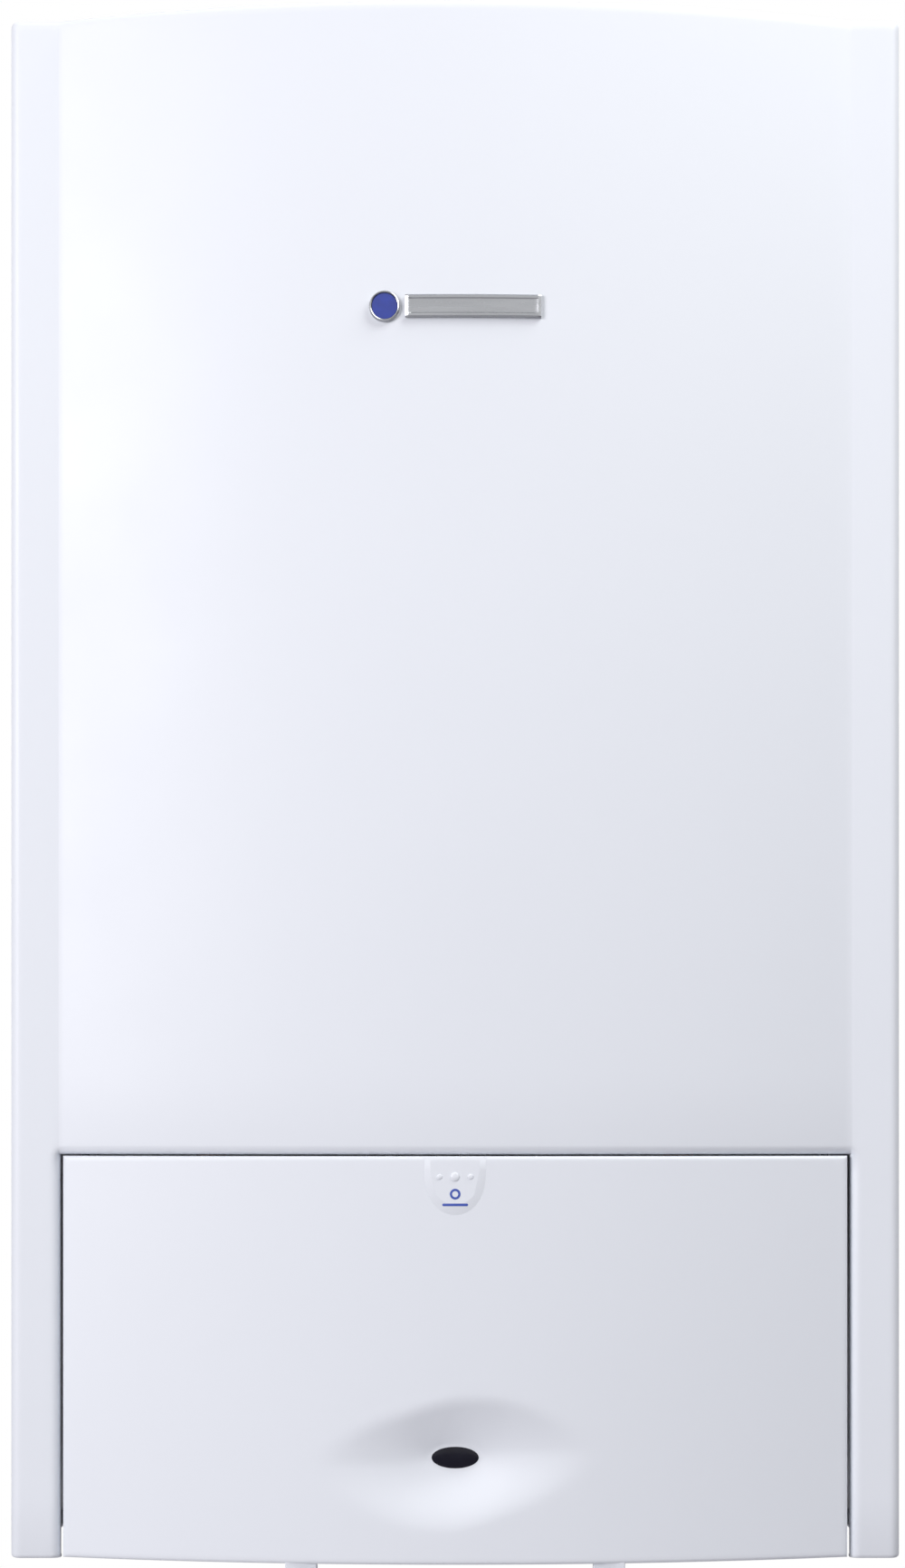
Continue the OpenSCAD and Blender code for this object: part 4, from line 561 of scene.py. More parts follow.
def dish(x, up):
    """Depth of the eye-shaped scoop below the bowed face, with a flat seat for the lens."""
    dz = up - DISH_UP
    fall = dz - DISH_TILT * max(-1.0, min(1.0, x / DISH_TILT_X))
    u = abs(x) / DISH_HALF_W
    v = abs(fall) / (DISH_RISE if fall > 0 else DISH_FALL)
    brink = (u ** DISH_POWER + v ** DISH_POWER) ** (1 / DISH_POWER)
    if brink >= 1.2:
        return 0.0
    seat = math.hypot(x / SEAT_HALF_W, dz / SEAT_HALF_H)
    if seat <= 1.0:
        return DISH_DEPTH
    t = (1.0 - 1.0 / seat) / (1.0 / brink - 1.0 / seat)
    share = u * u / (u * u + v * v)
    if fall > 0:
        return DISH_DEPTH * soft_end(t) ** (1.0 + 0.45 * share)
    s = min(1.0, t) ** 0.85
    return DISH_DEPTH * (soft_end(t) ** 1.45 * share + (1.0 - s * s * (3.0 - 2.0 * s)) * (1.0 - share))


def make_flap():
    """Bowed shell with a rim that turns back all round and a rounded front edge."""
    bm = bmesh.new()
    r = FLAP_EDGE_R
    turns = [math.radians(a) for a in (0, 22, 45, 68, 90)]
    edge = [(0.0, FLAP_RIM)] + [(r - r * math.cos(a), r - r * math.sin(a)) for a in turns]
    levels = [4.0, 8.0, 12.0] + spread(16.0, 84.0, 60) + spread(90.0, 180.0, 9) + [188.0, 193.0, 196.0]
    rows = [(FLAP_LOW + shift, back) for shift, back in edge]
    rows += [(up, 0.0) for up in levels]
    rows += [(FLAP_TOP - shift, back) for shift, back in edge[::-1]]
    outside = [-190.5, -186.0] + spread(-180.0, -82.0, 14)
    columns = [(-FLAP_HALF + shift, back) for shift, back in edge]
    columns += [(x, 0.0) for x in outside + spread(-76.0, 76.0, 112) + [-x for x in outside[::-1]]]
    columns += [(FLAP_HALF - shift, back) for shift, back in edge[::-1]]
    outer = []
    inner = []
    for up, back_up in rows:
        up_in = max(FLAP_LOW + FLAP_WALL, min(FLAP_TOP - FLAP_WALL, up))
        line_out = []
        line_in = []
        for x, back_x in columns:
            x_in = max(-FLAP_HALF + FLAP_WALL, min(FLAP_HALF - FLAP_WALL, x))
            back = max(back_x, back_up)
            deep = dish(x, up)
            line_out.append(bm.verts.new((x, bow(x) + back + deep, up)))
            if back >= FLAP_RIM:
                line_in.append(bm.verts.new((x_in, bow(x_in) + FLAP_RIM, up_in)))
            else:
                line_in.append(bm.verts.new((x_in, bow(x_in, FLAP_WALL) + deep, up_in)))
        outer.append(line_out)
        inner.append(line_in)
    grid_faces(bm, outer)
    grid_faces(bm, inner, flip=True)
    band(bm, border(inner), border(outer))
    bmesh.ops.remove_doubles(bm, verts=bm.verts[:], dist=0.01)
    bmesh.ops.dissolve_degenerate(bm, edges=bm.edges[:], dist=0.005)
    add(bm, "flap_moulding", "white_moulding", "flap", "flap", sharp=30.0)


def prism(bm, outline, x0, x1, shrink0=0.0, shrink1=0.0):
    """Solid between x0 and x1 from a (y, up) outline, with its corners drawn in at an end that shrinks."""
    stations = [(x0, shrink0)]
    if shrink0:
        stations.append((x0 + shrink0, 0.0))
    if shrink1:
        stations.append((x1 - shrink1, 0.0))
    stations.append((x1, shrink1))
    stack(bm, [[bm.verts.new((x, y, z)) for y, z in drawn_in(outline, shrink)] for x, shrink in stations])


def make_hinge_arm(name, cx):
    """Forked arm: two knuckles and a closed front, open behind for the control box's ear."""
    half = 7.75
    slot = 3.3
    knuckle_r = 4.0
    front = bow(HINGE_X + half) + 0.3
    top = FLAP_LOW + 1.25
    cheek = []
    for degrees in spread(60.0, -190.0, 18):
        a = math.radians(degrees)
        cheek.append((PIN_Y + knuckle_r * math.cos(a), PIN_UP + knuckle_r * math.sin(a)))
    cheek += [(front, PIN_UP + 1.2), (front, top), (front + 3.6, top), (front + 4.2, FLAP_LOW + 0.6)]
    web = [(PIN_Y - 3.1, PIN_UP - 2.5), (PIN_Y - 3.6, PIN_UP - 1.7), (front, PIN_UP - 0.6), (front, top),
           (front + 4.2, top), (front + 4.2, PIN_UP + 3.1), (PIN_Y - 3.1, PIN_UP + 3.1)]
    bm = bmesh.new()
    prism(bm, cheek, cx - half, cx - slot, shrink0=0.5)
    prism(bm, web, cx - slot, cx + slot)
    prism(bm, cheek, cx + slot, cx + half, shrink1=0.5)
    add(bm, name, "white_moulding", "flap")


make_case()
make_flap()
make_hinge_arm("flap_hinge_arm_left", -HINGE_X)
make_hinge_arm("flap_hinge_arm_right", HINGE_X)

# Push pad, lens and badge


def make_pad():
    """Shield that ends in a rounded tip, with three dots, a ring and a bar."""
    top = FLAP_TOP - 0.6
    shoulder = top - 6.0
    low = FLAP_TOP - 28.6
    outline = [(PAD_HALF, top), (PAD_HALF, shoulder)]
    for k in range(1, 24):
        a = math.pi * k / 24
        outline.append((PAD_HALF * math.cos(a), shoulder - (shoulder - low) * math.sin(a) ** 0.85))
    outline += [(-PAD_HALF, shoulder), (-PAD_HALF, top)]
    plate("push_pad_moulding", "pad_plastic", outline, -PAD_PROUD, 0.4, 0.14, "push_pad")
    for index, (x, r) in enumerate(((-7.5, 1.3), (0.0, 2.2), (7.5, 1.3))):
        tall = r * 0.32
        dome = [(0.0, -tall)]
        for degrees in (15, 30, 45, 60, 75, 90):
            a = math.radians(degrees)
            dome.append((r * math.sin(a), -tall * math.cos(a)))
        dome.append((r, 0.3))
        turned("pad_dot_%d" % index, "pad_plastic", "flap", (x, 189.0), bow(x) - PAD_PROUD, dome, 32)
    print_y = -PAD_PROUD - 0.03
    ring = [(1.5, 0.2), (1.5, 0.0), (2.6, 0.0), (2.6, 0.2), (1.5, 0.2)]
    turned("pad_ring_mark", "mark_blue", "flap", (0.0, 180.6), bow(0.0) + print_y, ring, 40)
    plate("pad_bar_mark", "mark_blue", round_rect(0.0, 175.4, 12.5, 1.3, 0.6), print_y, 0.1, 0.02)


def make_lens():
    """Oval dome in the dish. The levels are (share of the half widths, depth)."""
    bm = bmesh.new()
    sides = 72
    levels = [(0.35, 0.02), (0.65, 0.07), (0.85, 0.14), (0.95, 0.22), (0.99, 0.32), (1.0, 0.45),
              (1.0, 2.6)]
    rings = []
    for share, deep in levels:
        ring = []
        for c, s in circle((0.0, 0.0), share, sides):
            ring.append(bm.verts.new((LENS_HALF_W * c, LENS_FACE + deep, DISH_UP + LENS_HALF_H * s)))
        rings.append(ring)
    top = bm.verts.new((0.0, LENS_FACE, DISH_UP))
    for k in range(sides):
        bm.faces.new([top, rings[0][(k + 1) % sides], rings[0][k]])
    for a, b in zip(rings, rings[1:]):
        band(bm, a, b)
    bm.faces.new(rings[-1])
    add(bm, "oval_lens", "lens_plastic", "flap", "indicator_lens")


def make_badge():
    """Curved bar with a raised, bevelled border round a sunk middle, and a disc in a rim."""
    bm = bmesh.new()
    half = BADGE_HALF_H
    raised = -2.5
    bevelled = -1.7
    border_wide = 1.7
    steps = spread(BADGE_X0, BADGE_X1, 44)
    section = [(-half, 0.2), (-half, bevelled), (-half + 0.7, raised), (-half + 1.7, raised),
               (-half + 2.2, -2.0), (half - 2.2, -2.0),
               (half - 1.7, raised), (half - 0.7, raised), (half, bevelled), (half, 0.2)]
    rows = []
    for x in steps:
        row = []
        for z, y in section:
            if x in (BADGE_X0, BADGE_X1):
                y = max(y, bevelled)
            elif min(x - BADGE_X0, BADGE_X1 - x) < border_wide and abs(z) < half - 2.0:
                y = raised
            row.append(bm.verts.new((x, bow(x) + y, BADGE_UP + z)))
        rows.append(row)
    grid_faces(bm, rows)
    bm.faces.new(rows[0])
    bm.faces.new(rows[-1][::-1])
    for a, b in zip(rows, rows[1:]):
        bm.faces.new([a[0], b[0], b[-1], a[-1]])
    add(bm, "badge_bar_casting", "badge_chrome", "case", "badge_bar", sharp=20.0)
    centre = (DISC_X, BADGE_UP)
    ring = [(6.3, -1.6), (6.5, -2.1), (6.9, -2.3), (7.3, -2.0), (7.5, -1.4), (7.5, 0.8), (6.3, 0.8),
            (6.3, -1.6)]
    turned("badge_disc_rim", "badge_chrome", "case", centre, bow(DISC_X), ring, 72, "badge_disc")
    face = [(0.0, -1.95), (2.5, -1.9), (5.0, -1.75), (6.2, -1.6), (6.35, 0.6)]
    turned("badge_disc_enamel", "badge_blue", "case", centre, bow(DISC_X), face, 72)


make_pad()
make_lens()
make_badge()

# Detail of the controls


def lettering(name, finish, words):
    """Flat printed characters on the control unit. The words are (text, size, x, up, y)."""
    bm = bmesh.new()
    for text, size, x, up, y in words:
        curve = bpy.data.curves.new(name, "FONT")
        curve.body = text
        curve.size = size
        curve.align_x = "CENTER"
        curve.align_y = "CENTER"
        curve.extrude = 0.04
        holder = bpy.data.objects.new(name, curve)
        mesh = bpy.data.meshes.new_from_object(holder)
        known = len(bm.verts)
        bm.from_mesh(mesh)
        bm.verts.ensure_lookup_table()
        for vertex in bm.verts[known:]:
            px, py, pz = vertex.co
            vertex.co = Vector((x + px, y - pz, up + py))
        bpy.data.objects.remove(holder)
        bpy.data.meshes.remove(mesh)
        bpy.data.curves.remove(curve)
    add(bm, name, finish, "control_unit")


def dial_point(x, up, r, clockwise):
    """Point on a dial, at an angle clockwise from its top as seen from the front."""
    a = math.radians(clockwise)
    return x + r * math.sin(a), up + r * math.cos(a)


def tick(bm, x, up, r0, r1, clockwise, wide, y):
    """Adds a thin printed line along a radius of a dial."""
    a = math.radians(clockwise)
    ux, uz = math.sin(a), math.cos(a)
    corners = []
    for r, s in ((r0, -1), (r0, 1), (r1, 1), (r1, -1)):
        corners.append((x + r * ux + s * wide * uz / 2, up + r * uz - s * wide * ux / 2))
    stack(bm, [[bm.verts.new((px, depth, pz)) for px, pz in corners] for depth in (y + 0.12, y)])


def screw(bm, x, up, y, r=3.4):
    """Adds a domed screw head with a six-lobed socket, facing the front."""

    def lobes(angle, radius, along):
        return 0.16 * r * math.cos(6 * angle) if radius < 0.5 * r else 0.0

    head = [(0.0, -0.2 * r), (0.40 * r, -0.2 * r), (0.42 * r, -0.62 * r), (0.6 * r, -0.66 * r),
            (0.9 * r, -0.42 * r), (r, -0.2 * r), (r, 0.3)]
    turn(bm, "y", (x, up), head, 36, y, lobes)


def make_facia_trim():
    """Raised border, bezels round the window, rocker and gauge, and the knobs' wells."""
    bm = bmesh.new()
    rim(bm, 0.0, 98.0, (372.0, 182.0, 5.0), (364.0, 174.0, 3.0), 1.4, 0.4)
    rim(bm, WINDOW_X, CONTROLS_UP, (66.0, 34.0, 3.5), (58.2, 26.2, 1.5), 1.6, 0.7)
    rim(bm, ROCKER_X, CONTROLS_UP, (20.0, 27.0, 2.5), (14.8, 21.8, 0.6), 1.2, 0.5)
    well = [(23.0, 0.2), (23.0, -0.5), (23.4, -0.8), (24.0, -0.8), (24.4, -0.4), (24.4, 0.2), (23.0, 0.2)]
    for x in KNOBS.values():
        turn(bm, "y", (x, CONTROLS_UP), well, 96, FACIA_Y)
    bezel = [(24.2, 0.2), (24.2, -2.2), (24.7, -2.6), (26.0, -1.8), (27.0, -0.6), (27.2, 0.2), (24.2, 0.2)]
    turn(bm, "y", (GAUGE_X, CONTROLS_UP), bezel, 96, FACIA_Y)
    collar = [(6.5, 0.2), (6.5, -0.8), (7.0, -1.2), (7.9, -0.8), (8.3, 0.2), (6.5, 0.2)]
    for x in BUTTONS.values():
        turn(bm, "y", (x, BUTTON_UP), collar, 64, FACIA_Y)
    for x in (-88.0, 88.0):
        box(bm, (x - 0.5, FACIA_Y - 0.6, 22.0), (x + 0.5, FACIA_Y + 0.3, 42.0), 0.2)
    for low in (24.0, 30.0, 36.0):
        for x in (-140.0, 140.0):
            box(bm, (x - 34.0, FACIA_Y - 0.9, low), (x + 34.0, FACIA_Y + 0.3, low + 2.0), 0.4)
    add(bm, "facia_trim", "black_plastic", "control_unit")
    bm = bmesh.new()
    for x in (-176.0, 176.0):
        for up in (17.0, 179.0):
            screw(bm, x, up, FACIA_Y)
    add(bm, "facia_screws", "zinc_steel", "control_unit")


def make_facia_prints():
    """Scales round the knobs, plain icons over them, and short words under the buttons."""
    bm = bmesh.new()
    y = FACIA_Y - 0.05
    words = []
    for x in KNOBS.values():
        for k in range(31):
            reach, wide = (27.4, 0.5) if k % 5 == 0 else (26.4, 0.3)
            tick(bm, x, CONTROLS_UP, 25.2, reach, SCALE_START + k * SCALE_SWEEP / 30, wide, y)
        for k in range(7):
            px, pz = dial_point(x, CONTROLS_UP, 30.0, SCALE_START + k * SCALE_SWEEP / 6)
            words.append((str(k), 4.2, px, pz, y))
    radiator_x, drop_x = KNOBS.values()
    for x in spread(radiator_x - 7.0, radiator_x + 5.8, 4):
        box(bm, (x, y, 146.0), (x + 1.6, y + 0.1, 157.0), 0.0)
    for up in (147.6, 154.2):
        box(bm, (radiator_x - 8.2, y, up), (radiator_x + 8.6, y + 0.1, up + 1.2), 0.0)
    turns = spread(0.0, 2 * math.pi, 24)
    for a, b in zip(turns, turns[1:]):
        drop = []
        for angle, r in ((a, 4.0), (b, 4.0), (b, 3.1), (a, 3.1)):
            rise = 5.0 * max(0.0, math.sin(angle)) ** 5
            up = 150.0 + r * math.sin(angle) + rise * r / 4.0
            drop.append(bm.verts.new((drop_x + r * math.cos(angle), y, up)))
        bm.faces.new(drop)
    power_up = CONTROLS_UP + 19.0
    tick(bm, ROCKER_X, power_up, 0.0, 3.0, 0.0, 0.6, y)
    for k in range(27):
        tick(bm, ROCKER_X, power_up, 2.7, 3.3, 45.0 + k * 10.4, 0.62, y)
    add(bm, "facia_scales", "mark_white", "control_unit")
    for text, x in zip(("RESET", "ECO"), BUTTONS.values()):
        words.append((text, 3.6, x, 63.0, y))
    lettering("facia_words", "mark_white", words)


def make_knob(node, x):
    """Knob with a fluted grip, a turned cap and a pointer line at its top."""
    front = FACIA_Y - 15.3

    def flutes(angle, r, along):
        if 17.5 < r < 19.5 and along > 1.0:
            return -0.9 * max(0.0, math.cos(20 * angle)) ** 0.6
        return 0.0

    profile = [(0.0, 1.3), (6.0, 1.25), (12.0, 1.0), (15.2, 0.6), (16.2, 0.1), (17.2, 0.0), (18.2, 0.5),
               (18.8, 1.4), (18.9, 4.0), (19.1, 9.6), (19.4, 10.6), (20.4, 11.0), (21.6, 11.3), (22.0, 12.0),
               (22.0, 15.0), (3.0, 15.0), (3.0, 34.0), (0.0, 34.0)]
    bm = bmesh.new()
    turn(bm, "y", (x, CONTROLS_UP), profile, 160, front, flutes)
    add(bm, node + "_body", "knob_plastic", node, node)
    bm = bmesh.new()
    box(bm, (x - 0.7, front - 0.02, CONTROLS_UP + 5.0), (x + 0.7, front + 1.6, CONTROLS_UP + 17.6), 0.2)
    add(bm, node + "_pointer", "mark_white", node)


def make_button(node, x):
    """Push button with a dished cap, its collar and stem."""
    profile = [(0.0, 0.7), (2.5, 0.6), (4.4, 0.25), (5.1, 0.0), (5.7, 0.2), (6.0, 0.8), (6.0, 7.3),
               (7.5, 7.3), (7.5, 9.3), (2.0, 9.3), (2.0, 20.9), (0.0, 20.9)]
    turned(node + "_cap", "knob_plastic", node, (x, BUTTON_UP), FACIA_Y - 4.0, profile, 64, node)


def make_gauge():
    """White dial with a scale from 0 to 4, coloured bands and a hub cap on the needle."""
    face = FACIA_Y - 1.0
    centre = (GAUGE_X, CONTROLS_UP)
    dial = [(0.0, -0.12), (21.6, -0.12), (21.9, 0.0), (21.9, 0.3), (0.0, 0.3)]
    turned("gauge_dial", "mark_white", "control_unit", centre, face, dial, 96)
    y = face - 0.18
    bm = bmesh.new()
    words = []
    for k in range(41):
        long = k % 10 == 0
        depth = 3.4 if long else (2.6 if k % 5 == 0 else 1.6)
        tick(bm, *centre, 20.6 - depth, 20.6, -GAUGE_SWEEP + k * GAUGE_SWEEP / 20, 0.6 if long else 0.28, y)
    for k in range(5):
        px, pz = dial_point(*centre, 13.4, -GAUGE_SWEEP + k * GAUGE_SWEEP / 2)
        words.append((str(k), 4.6, px, pz, y))
    words.append(("bar", 3.6, GAUGE_X, CONTROLS_UP - 9.0, y))
    add(bm, "gauge_scale", "black_plastic", "control_unit")
    lettering("gauge_numbers", "black_plastic", words)
    for name, finish, first, last in (("gauge_low_band", "red_plastic", -GAUGE_SWEEP, -101.0),
                                      ("gauge_work_band", "board_green", -GAUGE_SWEEP / 2, 0.0),
                                      ("gauge_high_band", "red_plastic", GAUGE_SWEEP / 2, GAUGE_SWEEP)):
        bm = bmesh.new()
        steps = int((last - first) / 3)
        for k in range(steps):
            tick(bm, *centre, 20.8, 21.5, first + (k + 0.5) * (last - first) / steps, 1.25, y)
        add(bm, name, finish, "control_unit")
    bm = bmesh.new()
    hub = FACIA_Y - 2.5
    cap = [(0.0, -0.35), (1.6, -0.3), (2.9, 0.1), (3.2, 0.7), (3.2, 1.1), (0.0, 1.1)]
    turn(bm, "y", centre, cap, 48, hub)
    tick(bm, *centre, 3.0, 8.0, 180.0, 2.0, hub + 0.4)
    add(bm, "gauge_needle_hub", "black_plastic", "gauge_needle")


def make_display():
    """Two figures of seven bars each, a degree sign and four rising bars behind the window."""
    bm = bmesh.new()
    y = FACIA_Y + 0.44
    tall = 7.4
    half = 0.55
    for x, lit in ((38.0, "acdefg"), (49.0, "abcdef")):
        for key, level in (("a", 2), ("g", 1), ("d", 0)):
            if key in lit:
                up = CONTROLS_UP + tall * (level - 1)
                box(bm, (x - 2.6, y, up - half), (x + 2.6, y + 0.05, up + half), 0.0)
        for key, side, level in (("f", -1, 1), ("e", -1, 0), ("b", 1, 1), ("c", 1, 0)):
            if key in lit:
                low = CONTROLS_UP + tall * (level - 1) + 0.7
                middle = x + side * 3.2
                box(bm, (middle - half, y, low), (middle + half, y + 0.05, low + tall - 1.4), 0.0)
    for k in range(24):
        tick(bm, 58.5, CONTROLS_UP + 5.6, 1.1, 1.7, k * 15.0, 0.45, y)
    for k in range(4):
        x = 64.0 + k * 2.6
        box(bm, (x, y, CONTROLS_UP - 8.0), (x + 1.6, y + 0.05, CONTROLS_UP - 5.0 + k * 2.6), 0.0)
    add(bm, "display_figures", "display_light", "control_unit")


def make_rocker_marks():
    """Line and ring on the two ends of the rocker."""
    bm = bmesh.new()

    def front(up):
        return max(ROCKER_Y - math.sqrt(ROCKER_R ** 2 - (up - CONTROLS_UP) ** 2), ROCKER_FRONT)

    line_y = front(110.4)
    box(bm, (ROCKER_X - 0.35, line_y - 0.06, 109.2), (ROCKER_X + 0.35, line_y + 0.5, 111.8), 0.0)
    for x, up in circle((ROCKER_X, 99.4), 1.3, 20):
        box(bm, (x - 0.24, front(up) - 0.06, up - 0.24), (x + 0.24, front(up) + 0.4, up + 0.24), 0.0)
    add(bm, "rocker_marks", "mark_white", "rocker_switch")


make_facia_trim()
make_facia_prints()
for node_name, knob_x in KNOBS.items():
    make_knob(node_name, knob_x)
for node_name, button_x in BUTTONS.items():
    make_button(node_name, button_x)
make_gauge()
make_display()
make_rocker_marks()

# Detail of the inner parts


def hexagon(bm, axis, centre, r, low, high):
    """Adds a six-sided nut with chamfered corners, r across its corners."""
    c = 0.12 * r
    profile = [(0.0, low), (r - c, low), (r, low + c), (r, high - c), (r - c, high), (0.0, high)]
    turn(bm, axis, centre, profile, 6)


def make_exchanger_detail():
    """Nuts and studs of the cover and the burner door, boots of the electrodes, and seals."""
    bm = bmesh.new()
    stud = [(0.0, -2.6), (2.2, -2.6), (2.8, -2.0), (2.8, 0.0), (0.0, 0.0)]
    for x in (-97.0, -5.0, 87.0):
        for up in (352.0, 460.0, 568.0):
            if (x, up) != (-5.0, 460.0):
                hexagon(bm, "y", (x, up), 6.2, -260.5, -256.8)
                turn(bm, "y", (x, up), stud, 24, -260.0)
    door_stud = [(0.0, 0.0), (2.4, 0.0), (2.4, 7.8), (1.9, 8.4), (0.0, 8.4)]
    for x in (-105.0, -50.0, 50.0, 99.0):
        hexagon(bm, "z", (x, -239.0), 5.4, 604.8, 609.0)
        turn(bm, "z", (x, -239.0), door_stud, 24, 604.0)
    add(bm, "exchanger_nuts", "zinc_steel", "chassis")
    bm = bmesh.new()
    boot = [(0.0, 0.0), (5.9, 0.0), (6.2, 0.6), (6.2, 4.0), (5.2, 5.0), (5.2, 10.0), (4.6, 14.0), (3.0, 17.0),
            (0.0, 17.4)]
    for y in (-200.0, -160.0):
        turn(bm, "z", (79.0, y), boot, 40, 626.0)
    add(bm, "electrode_boots", "rubber", "chassis")
    bm = bmesh.new()
    flue_seal = [(30.0, 0.0), (34.6, 0.0), (35.4, 1.2), (35.4, 4.8), (34.0, 6.6), (31.4, 7.6), (30.0, 7.6),
                 (30.0, 0.0)]
    turn(bm, "z", (150.0, FLUE_Y), flue_seal, 72, 329.8)
    trap_seal = [(20.0, 0.0), (29.6, 0.0), (30.2, -1.3), (30.2, -4.3), (28.0, -5.3), (20.0, -5.3),
                 (20.0, 0.0)]
    turn(bm, "z", (72.0, -180.0), trap_seal, 64, 289.9)
    add(bm, "flue_and_trap_seals", "rubber", "chassis")


def make_fan_detail():
    """Bead, bolts and bearing cap of the fan and its motor."""
    bm = bmesh.new()
    bolts = circle(FAN, 51.0, 6, 30.0)
    bead = [(59.0, -3.5), (61.4, -3.0), (61.9, -2.2), (61.9, 2.2), (61.4, 3.0), (59.0, 3.5), (59.0, -3.5)]
    turn(bm, "y", FAN, bead, 120, -205.0)
    for bolt in bolts:
        turn(bm, "y", bolt, [(0.0, 0.0), (5.2, 0.0), (5.8, 0.6), (6.4, 2.5), (0.0, 2.5)], 32, -232.0)
    add(bm, "fan_bead", "cast_aluminium", "chassis")
    bm = bmesh.new()
    for x, up in bolts:
        screw(bm, x, up, -231.8, 3.6)
    for x, up in circle(FAN, 28.0, 3, 90.0):
        screw(bm, x, up, -275.8, 2.4)
    add(bm, "fan_screws", "zinc_steel", "chassis")
    cap = [(0.0, -4.1), (8.0, -3.9), (10.4, -3.1), (11.0, -1.9), (20.0, -1.5), (21.0, -0.7), (21.4, 0.0),
           (0.0, 0.0)]
    turned("fan_bearing_cap", "grey_plastic", "chassis", FAN, -275.5, cap, 72)


def make_gas_detail():
    """Screws and adjuster of the gas valve, and the pipes' union nuts."""
    bm = bmesh.new()
    for x in (-200.5, -161.5):
        for up in (406.0, 472.0):
            screw(bm, x, up, -286.0, 2.8)
    screw(bm, -189.0, 424.0, -291.8, 4.6)
    add(bm, "gas_valve_screws", "zinc_steel", "chassis")
    bm = bmesh.new()
    hexagon(bm, "z", GAS_PIPE, 16.4, 386.0, 399.9)
    hexagon(bm, "z", GAS_PIPE, 13.0, 489.9, 500.0)
    for x in LARGE_TAILS:
        hexagon(bm, "z", (x, TAIL_Y), 17.0, 50.0, 62.0)
    hexagon(bm, "z", (SMALL_TAIL, TAIL_Y), 13.6, 50.0, 60.0)
    add(bm, "union_nuts", "brass", "chassis")


def make_pump_detail():
    """End cap with its bleed screw, cooling rings and the cover of the pump's terminal box."""
    bm = bmesh.new()
    ring = [(35.6, -1.2), (37.6, -0.9), (37.9, 0.0), (37.6, 0.9), (35.6, 1.2), (35.6, -1.2)]
    for y in spread(-159.0, -93.0, 11):
        turn(bm, "y", PUMP, ring, 72, y)
    turn(bm, "y", PUMP, [(0.0, -2.0), (26.0, -2.0), (28.4, -1.4), (29.0, 0.0), (0.0, 0.0)], 72, -163.0)
    box(bm, (107.0, -153.5, 159.0), (153.0, -97.0, 162.0), 1.0)
    add(bm, "pump_motor_rings", "black_plastic", "chassis")
    bm = bmesh.new()
    screw(bm, *PUMP, -165.2, 8.0)
    for x in (111.5, 148.5):
        for y in (-149.5, -101.0):
            turn(bm, "z", (x, y), [(0.0, 0.0), (2.6, 0.0), (2.6, 1.0), (1.8, 1.6), (0.0, 1.6)], 24, 161.8)
    for nut in circle(PUMP, 34.0, 4, 45.0):
        hexagon(bm, "y", nut, 4.6, -90.4, -87.0)
    add(bm, "pump_screws", "zinc_steel", "chassis")


def make_vessel_detail():
    """Rolled seam, pressed rings and the filling valve of the expansion vessel."""
    bm = bmesh.new()
    seam = [(146.0, -3.4), (148.4, -3.0), (149.0, -2.2), (149.0, 2.2), (148.4, 3.0), (146.0, 3.4),
            (146.0, -3.4)]
    turn(bm, "y", VESSEL, seam, 160, -50.2)
    for r in (60.0, 92.0):
        pressed = [(r, 0.0), (r + 1.2, -1.1), (r + 3.0, -1.5), (r + 4.8, -1.1), (r + 6.0, 0.0), (r, 0.0)]
        turn(bm, "y", VESSEL, pressed, 120, -89.1)
    add(bm, "vessel_seam", "vessel_paint", "chassis")
    valve = [(0.0, -14.0), (4.6, -14.0), (5.2, -13.4), (5.2, -5.0), (7.4, -4.0), (8.4, 0.0), (0.0, 0.0)]
    turned("vessel_valve_cap", "black_plastic", "chassis", VESSEL, -89.0, valve, 36)


def make_tail_threads():
    """Turned threads and lock nuts on the pipe tails below the connection plate."""
    bm = bmesh.new()
    for x, r in [(x, 11.0) for x in LARGE_TAILS] + [(SMALL_TAIL, 7.5)]:
        profile = [(r - 0.4, -24.6)]
        for k in range(7):
            profile += [(r + 0.05, -24.2 + 2.2 * k), (r + 0.55, -23.1 + 2.2 * k)]
        profile += [(r + 0.05, -8.8), (r - 0.4, -8.6), (r - 0.4, -24.6)]
        turn(bm, "z", (x, TAIL_Y), profile, 48)
        hexagon(bm, "z", (x, TAIL_Y), r + 5.0, 3.6, 9.8)
    add(bm, "tail_threads", "brass", "chassis")


